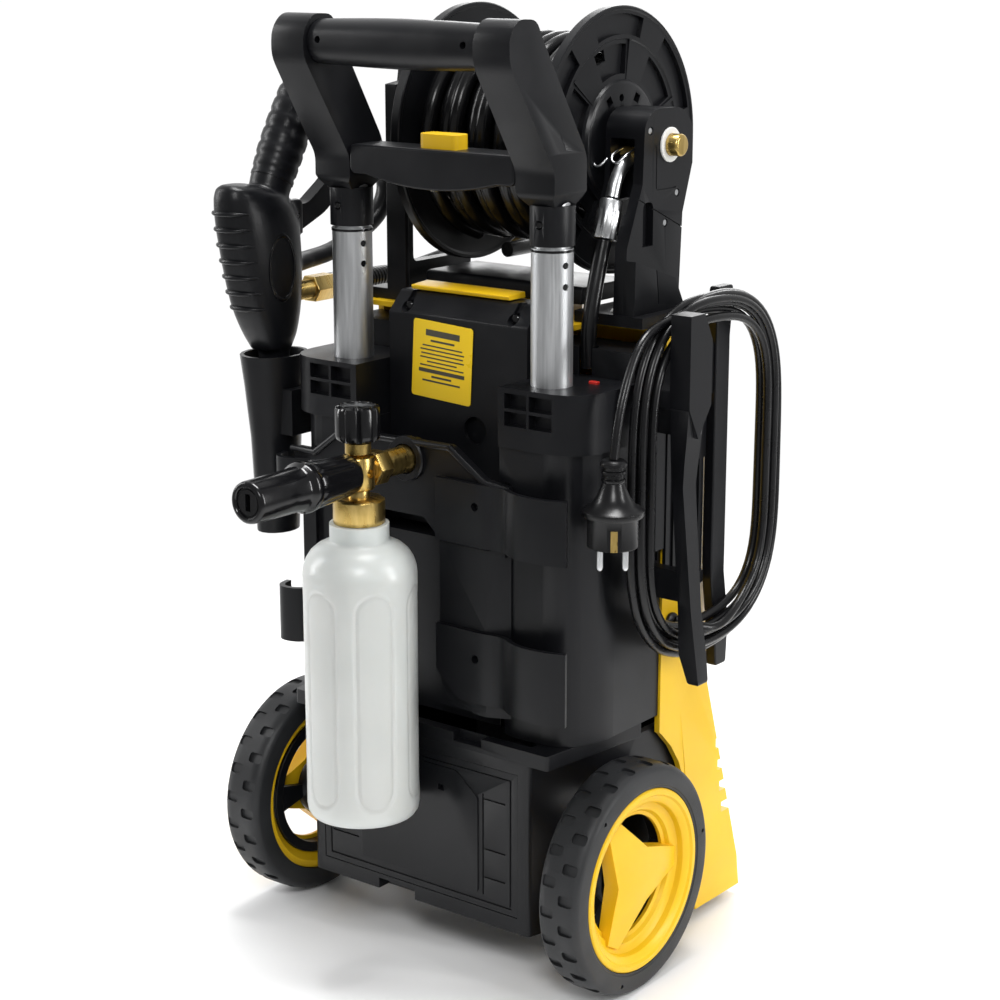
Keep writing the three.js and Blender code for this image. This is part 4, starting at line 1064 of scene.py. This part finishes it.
def make_lance():
    bottle = span("foam_bottle")
    r, b = 44.3, bottle.z0
    outside = [(0, b + 2.5), *about(r, b, [(-16, 2), (-12, 0), (-7, 0), (-3, 1.6), (-0.8, 5), (0, 10)])]
    outside += [(r, b + 10 + (322 - b) * k / 110) for k in range(1, 111)]
    outside += [(r - 0.6, 337), (r - 2.6, 343), (r - 6, 348.6), (r - 11, 353), (r - 17, 356), (23.4, 357.6),
                (23, 359), (23, 371.3), (14, 371.3), (14, 359)]
    inside = [(20, 355), (r - 13, 350), (r - 6, 343), (r - 2.6, 334), (r - 2.2, b + 12), (r - 5, b + 5),
              (r - 12, b + 3.6), (0, b + 5)]
    wall = 2.3
    points, faces = lathe([*outside, *inside], "z", (bottle.x, bottle.y, 0), 224)
    for i, p in enumerate(points):
        dx, dy = p.x - bottle.x, p.y - bottle.y
        radius = math.hypot(dx, dy)
        if radius > r - wall + 0.2 and b + 8 < p.z < 335:
            scale = (radius + panel_depth(math.atan2(dy, dx), p.z)) / radius
            points[i] = Vector((bottle.x + dx * scale, bottle.y + dy * scale, p.z))
    piece("foam_bottle.skin", (points, faces), "lance", "bottle_plastic", angle=60)
    x, y, z = bottle.x, bottle.y, LANCE_Z
    knurl = lathe([(0, 371.7), (19.6, 371.7), (20, 372.4), (20, 389.6), (18, 391), (10, 391.6), (0, 391.6)],
                  "z", (x, y, 0), 160, lambda a, h: 0.32 * math.cos(40 * a) if 373 < h < 389 else 0)
    stem = lathe([(0, 391), (8.4, 391), (8.4, 397), (7, 399), (7, 424), (10, 426), (10, 434), (5, 435),
                  (5, 444), (0, 444)], "z", (x, y, 0), 48)
    barrel = rod(10, -186, -163, "y", (x, 0, z), 48)
    hexagon = lathe([(0, -164), (13.4, -164), (14, -163), (14, -150), (13.4, -149), (0, -149)], "y",
                    (x, 0, z), 6)
    inlet = lathe([(0, -150), (10.2, -150), (10.6, -148), (10.6, -124), (11.2, -122), (11.2, -112),
                   (9.4, -110), (9.4, -104), (0, -104)], "y", (x, 0, z), 160,
                  lambda a, h: 0.5 * math.cos(20 * a) if -146 < h < -126 else 0)
    body = lathe(disc(12.6, z - 13, z + 13, 1), "z", (x, y, 0), 48)
    uptake = lathe(disc(4.5, 345, 372.5), "z", (x, y, 0), 20)
    hole = recess((x + 13.2, y, z), "x", 3.6, 5, 1)
    piece("lance_body.skin", knurl, "lance", "brass", bevel=0.3, angle=50,
          add=[stem, barrel, hexagon, inlet, body, uptake], cut=[hole])
    hose = smooth_path([(x, y, 347), (x + 3, y + 3, 300), (x + 12, y + 5, 230), (x + 17, y - 8, 160)], 10)
    piece("pickup_hose", sweep(hose, 2.6, 14), "lance", "bottle_plastic", NYLON)
    piece("pickup_filter", lathe([(0, 143), (6.4, 143), (7, 144), (7, 159), (5, 162), (0, 162)], "z",
          (x + 17.5, y - 9, 0), 32), "lance", "bottle_plastic", FILTER, bevel=0.4)
    knob = lathe([(0, 436), (15, 436), (17.2, 438), (17.5, 441), (17.5, 459), (16.6, 461.8), (14, 463),
                  (13, 462.2), (0, 462.2)], "z", (x, y, 0), 144,
                 lambda a, h: -2.6 * max(0.0, math.cos(8 * a)) ** 3 if 437 < h < 462.6 else 0)
    shaft = rod(5.4, 430, 446, "z", (x, y, 0), 32)
    piece("lance_knob.skin", knob, "lance_knob", "gloss_black", bevel=0.4, angle=45, cut=[shaft])
    tip = span("lance_nozzle").y0

    def flutes(a, h):
        return -0.9 * max(0.0, math.cos(9 * a)) ** 2 if -232 < h < -194 else 0

    sleeve = [(0, tip + 1.6), (9.6, tip + 1.6), (10.2, tip + 2.4), (11, tip + 2.4), (11.6, tip + 0.6),
              (12.2, tip), (14.2, tip), (15.4, tip + 1), (16, tip + 3.4), (16.3, -262), (16.7, -247),
              (17.6, -244), (19.2, -242), (19.7, -240), (19.7, -236.6), (19, -235), (17.8, -233.6)]
    sleeve += [(18.6 - 2.6 * (k / 10), -231 + 38 * k / 10) for k in range(11)]
    sleeve += [(15.4, -190), (15, -187), (14.4, -186.4), (0, -186.4)]
    slot = block(x - 2.4, x + 2.4, tip - 2, tip + 7, z - 6.4, z + 6.4)
    piece("lance_nozzle.skin", lathe(sleeve, "y", (x, 0, z), 144, flutes), "lance_nozzle", "gloss_black",
          bevel=0.4, angle=40, cut=[slot])


# ---------- gun ----------
GUN_BODY = [(476.5, -114, -82, 14), (488, -121, -77, 18), (502, -129, -73, 20.5), (522, -137, -70, 22),
            (546, -143, -69, 22.6), (574, -149, -70, 22.6), (592, -151.5, -75, 22), (604, -152, -88, 19.5),
            (611, -150, -112, 15.5), (614.6, -146, -126, 8)]


def gun_ring(z, grow=0.0):
    """The body's outline at a height, as a ring of points, counted from +Y round through +X."""
    for low, high in zip(GUN_BODY, GUN_BODY[1:]):
        if low[0] <= z <= high[0]:
            t = (z - low[0]) / (high[0] - low[0])
            y0, y1, half = (low[k] + (high[k] - low[k]) * t for k in (1, 2, 3))
            return oval((span("gun_body").x, (y0 + y1) / 2, z), Vector((0, 1, 0)), Vector((1, 0, 0)),
                        (y1 - y0) / 2 + grow, half + grow, 2.5)
    raise ValueError(z)


def oval_sweep(path, widths, thicks, power=2.2, ripple=None):
    """Ovals along a path in the YZ plane of the gun."""
    line = smooth_path(path, 8)
    rings, x_axis = [], Vector((1, 0, 0))
    for i, p in enumerate(line):
        t = heading(line, i)
        side = t.cross(x_axis)
        at = i / (len(line) - 1) * (len(widths) - 1)
        k = min(int(at), len(widths) - 2)
        w = widths[k] + (widths[k + 1] - widths[k]) * (at - k)
        h = thicks[k] + (thicks[k + 1] - thicks[k]) * (at - k)
        off = ripple(i / (len(line) - 1)) if ripple else 0
        rings.append(oval(p, side, x_axis, w + off, h + off, power, 48))
    return loft(rings)


def make_gun():
    gun = span("gun_body")
    x = gun.x
    body = loft([gun_ring(z) for z in (476.5, 482, 488, 496, 506, 518, 532, 548, 562, 576, 586, 594, 600, 604,
                                       608, 611, 613, 614.4)])
    grip = oval_sweep([(x, -102, 590), (x, -94, 612), (x, -83, 634), (x, -71, 656), (x, -58, 678),
                       (x, -46, 697), (x, -40, 706.5)], (15, 17.5, 17.5, 17.5, 17, 15, 9),
                      (15, 16, 17, 17, 16, 13.5, 8))
    guard = oval_sweep([(x, -82, 543), (x, -52, 545), (x, -22, 549), (x, 8, 559), (x, 35, 573), (x, 47, 590),
                        (x, 47, 604), (x, 37, 620), (x, 10, 651), (x, -20, 686), (x, -32, 699)],
                       (8, 7.4, 7.2, 7.2, 7.2, 7, 7, 7.2, 8, 9, 10), (12, 9, 8.6, 8.6, 8.6, 8.4, 8.4, 8.6, 9,
                                                                   10, 11))
    hub = prism("x", [(-92, 568, 5), (-67.5, 568, 5), (-67.5, 598, 5), (-92, 598, 5)], x - 11, x + 11)
    barrel = lathe([(0, 345), (9, 345), (12, 350), (12, 400), (13, 476), (13, 484), (0, 484)], "z",
                   (x, -95, 0), 48)
    obj = linked("gun_body.skin", mesh_from("gun_body.skin", body))
    for extra in (grip, guard, hub, barrel):
        booled(obj, extra, "UNION")
    mod = obj.modifiers.new("even", "REMESH")
    mod.mode = "VOXEL"
    mod.voxel_size = 0.0017
    kept(obj)
    mod = obj.modifiers.new("blend", "SMOOTH")
    mod.factor = 0.5
    mod.iterations = 7
    kept(obj)
    booled(obj, block(x - 7, x + 7, -84.5, -60, 569, 600))
    booled(obj, rod(2.05, -13, 13, "x", (x, -74, 584), 24))
    booled(obj, block(x - 4.8, x + 4.8, -34, -12, 652, 682))
    finish_piece(obj, "root", "housing_black", angle=45)
    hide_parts("gun_body")
    cover = oval_sweep([(x, -93, 614), (x, -83, 634), (x, -71, 656), (x, -58, 678), (x, -47, 695.5)],
                       (17.6, 18.3, 18.3, 17.9, 16), (16, 17.6, 17.6, 16.8, 14),
                       2.2, lambda t: 0.5 - 1.1 * math.exp(-(((t * 8) % 1 - 0.5) / 0.07) ** 2))
    piece("gun_grip", cover, "root", "housing_black", bevel=0.5, angle=60)
    for k in range(7):
        ring = gun_ring(592 - 13 * k, 0.1)
        arc = ring[14:27]
        piece(f"gun_rib_{k + 1}", sweep(arc, lambda t: 0.3 + 1.9 * math.sin(math.pi * t) ** 0.6, 12), "root")
    rim = lathe([(13.6, 0), (15.4, 0), (15.4, 1), (14.9, 1.4), (14.2, 1.4), (13.6, 1), (13.6, 0)], "x",
                (x + 21.5, -106, 546), 72)
    tall = Matrix.Translation((0, 0, 546)) @ Matrix.Scale(1.8, 4, (0, 0, 1)) @ Matrix.Translation(
        (0, 0, -546))
    piece("gun_medallion", moved(rim, tall), "root", "gloss_black", bevel=0.1)
    for node, soft in (("gun_trigger", 2.2), ("trigger_lock", 1.0), ("trigger_pin", 0.2)):
        dressed(node, soft, 2)
    dressed("gun_holster", 0.8)
    coupling = span("gun_coupling")
    thread = lathe([(0, -71.6), (7.4, -71.6)] + [(7.4 + 0.7 * (k % 2), -71 + 0.9 * k) for k in range(22)]
                   + [(7.4, -50.5), (0, -50.5)], "y", (x, 0, coupling.z), 48)
    nut = lathe([(0, -51), (11.4, -51), (12, -50.2), (12, -27), (11.4, -26), (0, -26)], "y",
                (x, 0, coupling.z), 6)
    piece("gun_coupling.skin", thread, "root", "brass", bevel=0.25, add=[nut])
    relief = [(0, STRAIN.y0), (10.5, STRAIN.y0), (10.5, 0)]
    for k in range(12):
        base = 10.2 - 1.5 * k / 12
        y = 1 + 48 * k / 12
        relief += [(base, y), (base, y + 2), (base - 1.5, y + 2.5), (base - 1.5, y + 3.5)]
    relief += [(8.6, 49.4), (8.2, STRAIN.y1), (0, STRAIN.y1)]
    piece("gun_strain_relief.skin", lathe(relief, "y", (x, 0, STRAIN.z), 48), "root", "gloss_black",
          bevel=0.2)


# ---------- cord hooks and plug ----------
def make_hooks():
    dressed("cord_hook_rear", 1.6, 3)
    dressed("cord_hook_front", 1.6, 3)
    plate = prism("x", [(-1.4, 300, 2), (54, 300, 3), (54, 449, 3), (-1.4, 449, 2)], 146.3, 149.4)
    holes = [recess((149.4, y, 424), "x", 2.6, 2, 1, 20) for y in (10, 28)]
    slits = [block(147.6, 151, y, y + 5, 310, 404) for y in range(4, 50, 9)]
    seam = block(148.6, 151, 3, 50, 438, 439.2)
    piece("side_plate", plate, "root", bevel=0.8, cut=[*holes, *slits, seam])
    apron = prism("x", [(-15, 340), (-2.2, 340), (-2.2, 449), (-15, 449)], 144.3, 148.4)
    piece("side_apron", apron, "root", bevel=0.6)
    dressed("cord_gland", 0.5)
    p = PLUG
    top, turn = p.z1, 38
    body = about(0, top, [
        (0, 0), (8.2, 0), (9, -0.6), (10.2, -2), (10.2, -4), (7.8, -5), (7.6, -7.5), (9, -8.2), (9, -10),
        (7.6, -10.8), (7.6, -13.6), (9, -14.4), (9, -16), (8.2, -17), (9.6, -21), (12.6, -28), (17, -34),
        (21.8, -36.6), (23.4, -38), (23.5, -41), (22.6, -42.4), (19.8, -43), (19.3, -44), (19.3, -65.2),
        (18.6, -66), (0, -66)])
    shape = lathe(body, "z", (p.x, p.y, 0), 72)
    slot = turned_by(block(p.x - 14, p.x + 14, p.y - 3.4, p.y + 3.4, 360, 378), turn, "Z", (p.x, p.y, 0))
    grips = [turned_by(block(p.x + 17.6, p.x + 26, p.y - 5, p.y + 5, 366, 384), turn + a, "Z", (p.x, p.y, 0))
             for a in (90, 270)]
    piece("plug_body.skin", shape, "root", "cord_black", bevel=0.5, angle=40, cut=[slot, *grips])
    pins = []
    for side in (-9.5, 9.5):
        pins.append(lathe([(0, 348), (1.3, 348.2), (2.2, 349.6), (2.4, 351), (2.4, 376), (0, 376)], "z",
                          (p.x + side, p.y, 0), 32))
    bridge = block(p.x - 13, p.x + 13, p.y - 2.8, p.y + 2.8, 368, 377.5)
    pins = turned_by(merged(*pins), turn, "Z", (p.x, p.y, 0))
    piece("plug_pins.skin", turned_by(bridge, turn, "Z", (p.x, p.y, 0)), "root", "steel", bevel=0.3,
          add=[pins])
    for a in (90, 270):
        strip = turned_by(block(p.x + 17.2, p.x + 18.2, p.y - 2.6, p.y + 2.6, 367, 383), turn + a, "Z",
                          (p.x, p.y, 0))
        piece(f"earth_strip_{a}", strip, "root", "brass", bevel=0.2)


make_stage()
make_camera()
make_hooks()
make_cords()
make_handle()
make_reel()
make_body()
make_wheels()
make_lance()
make_gun()
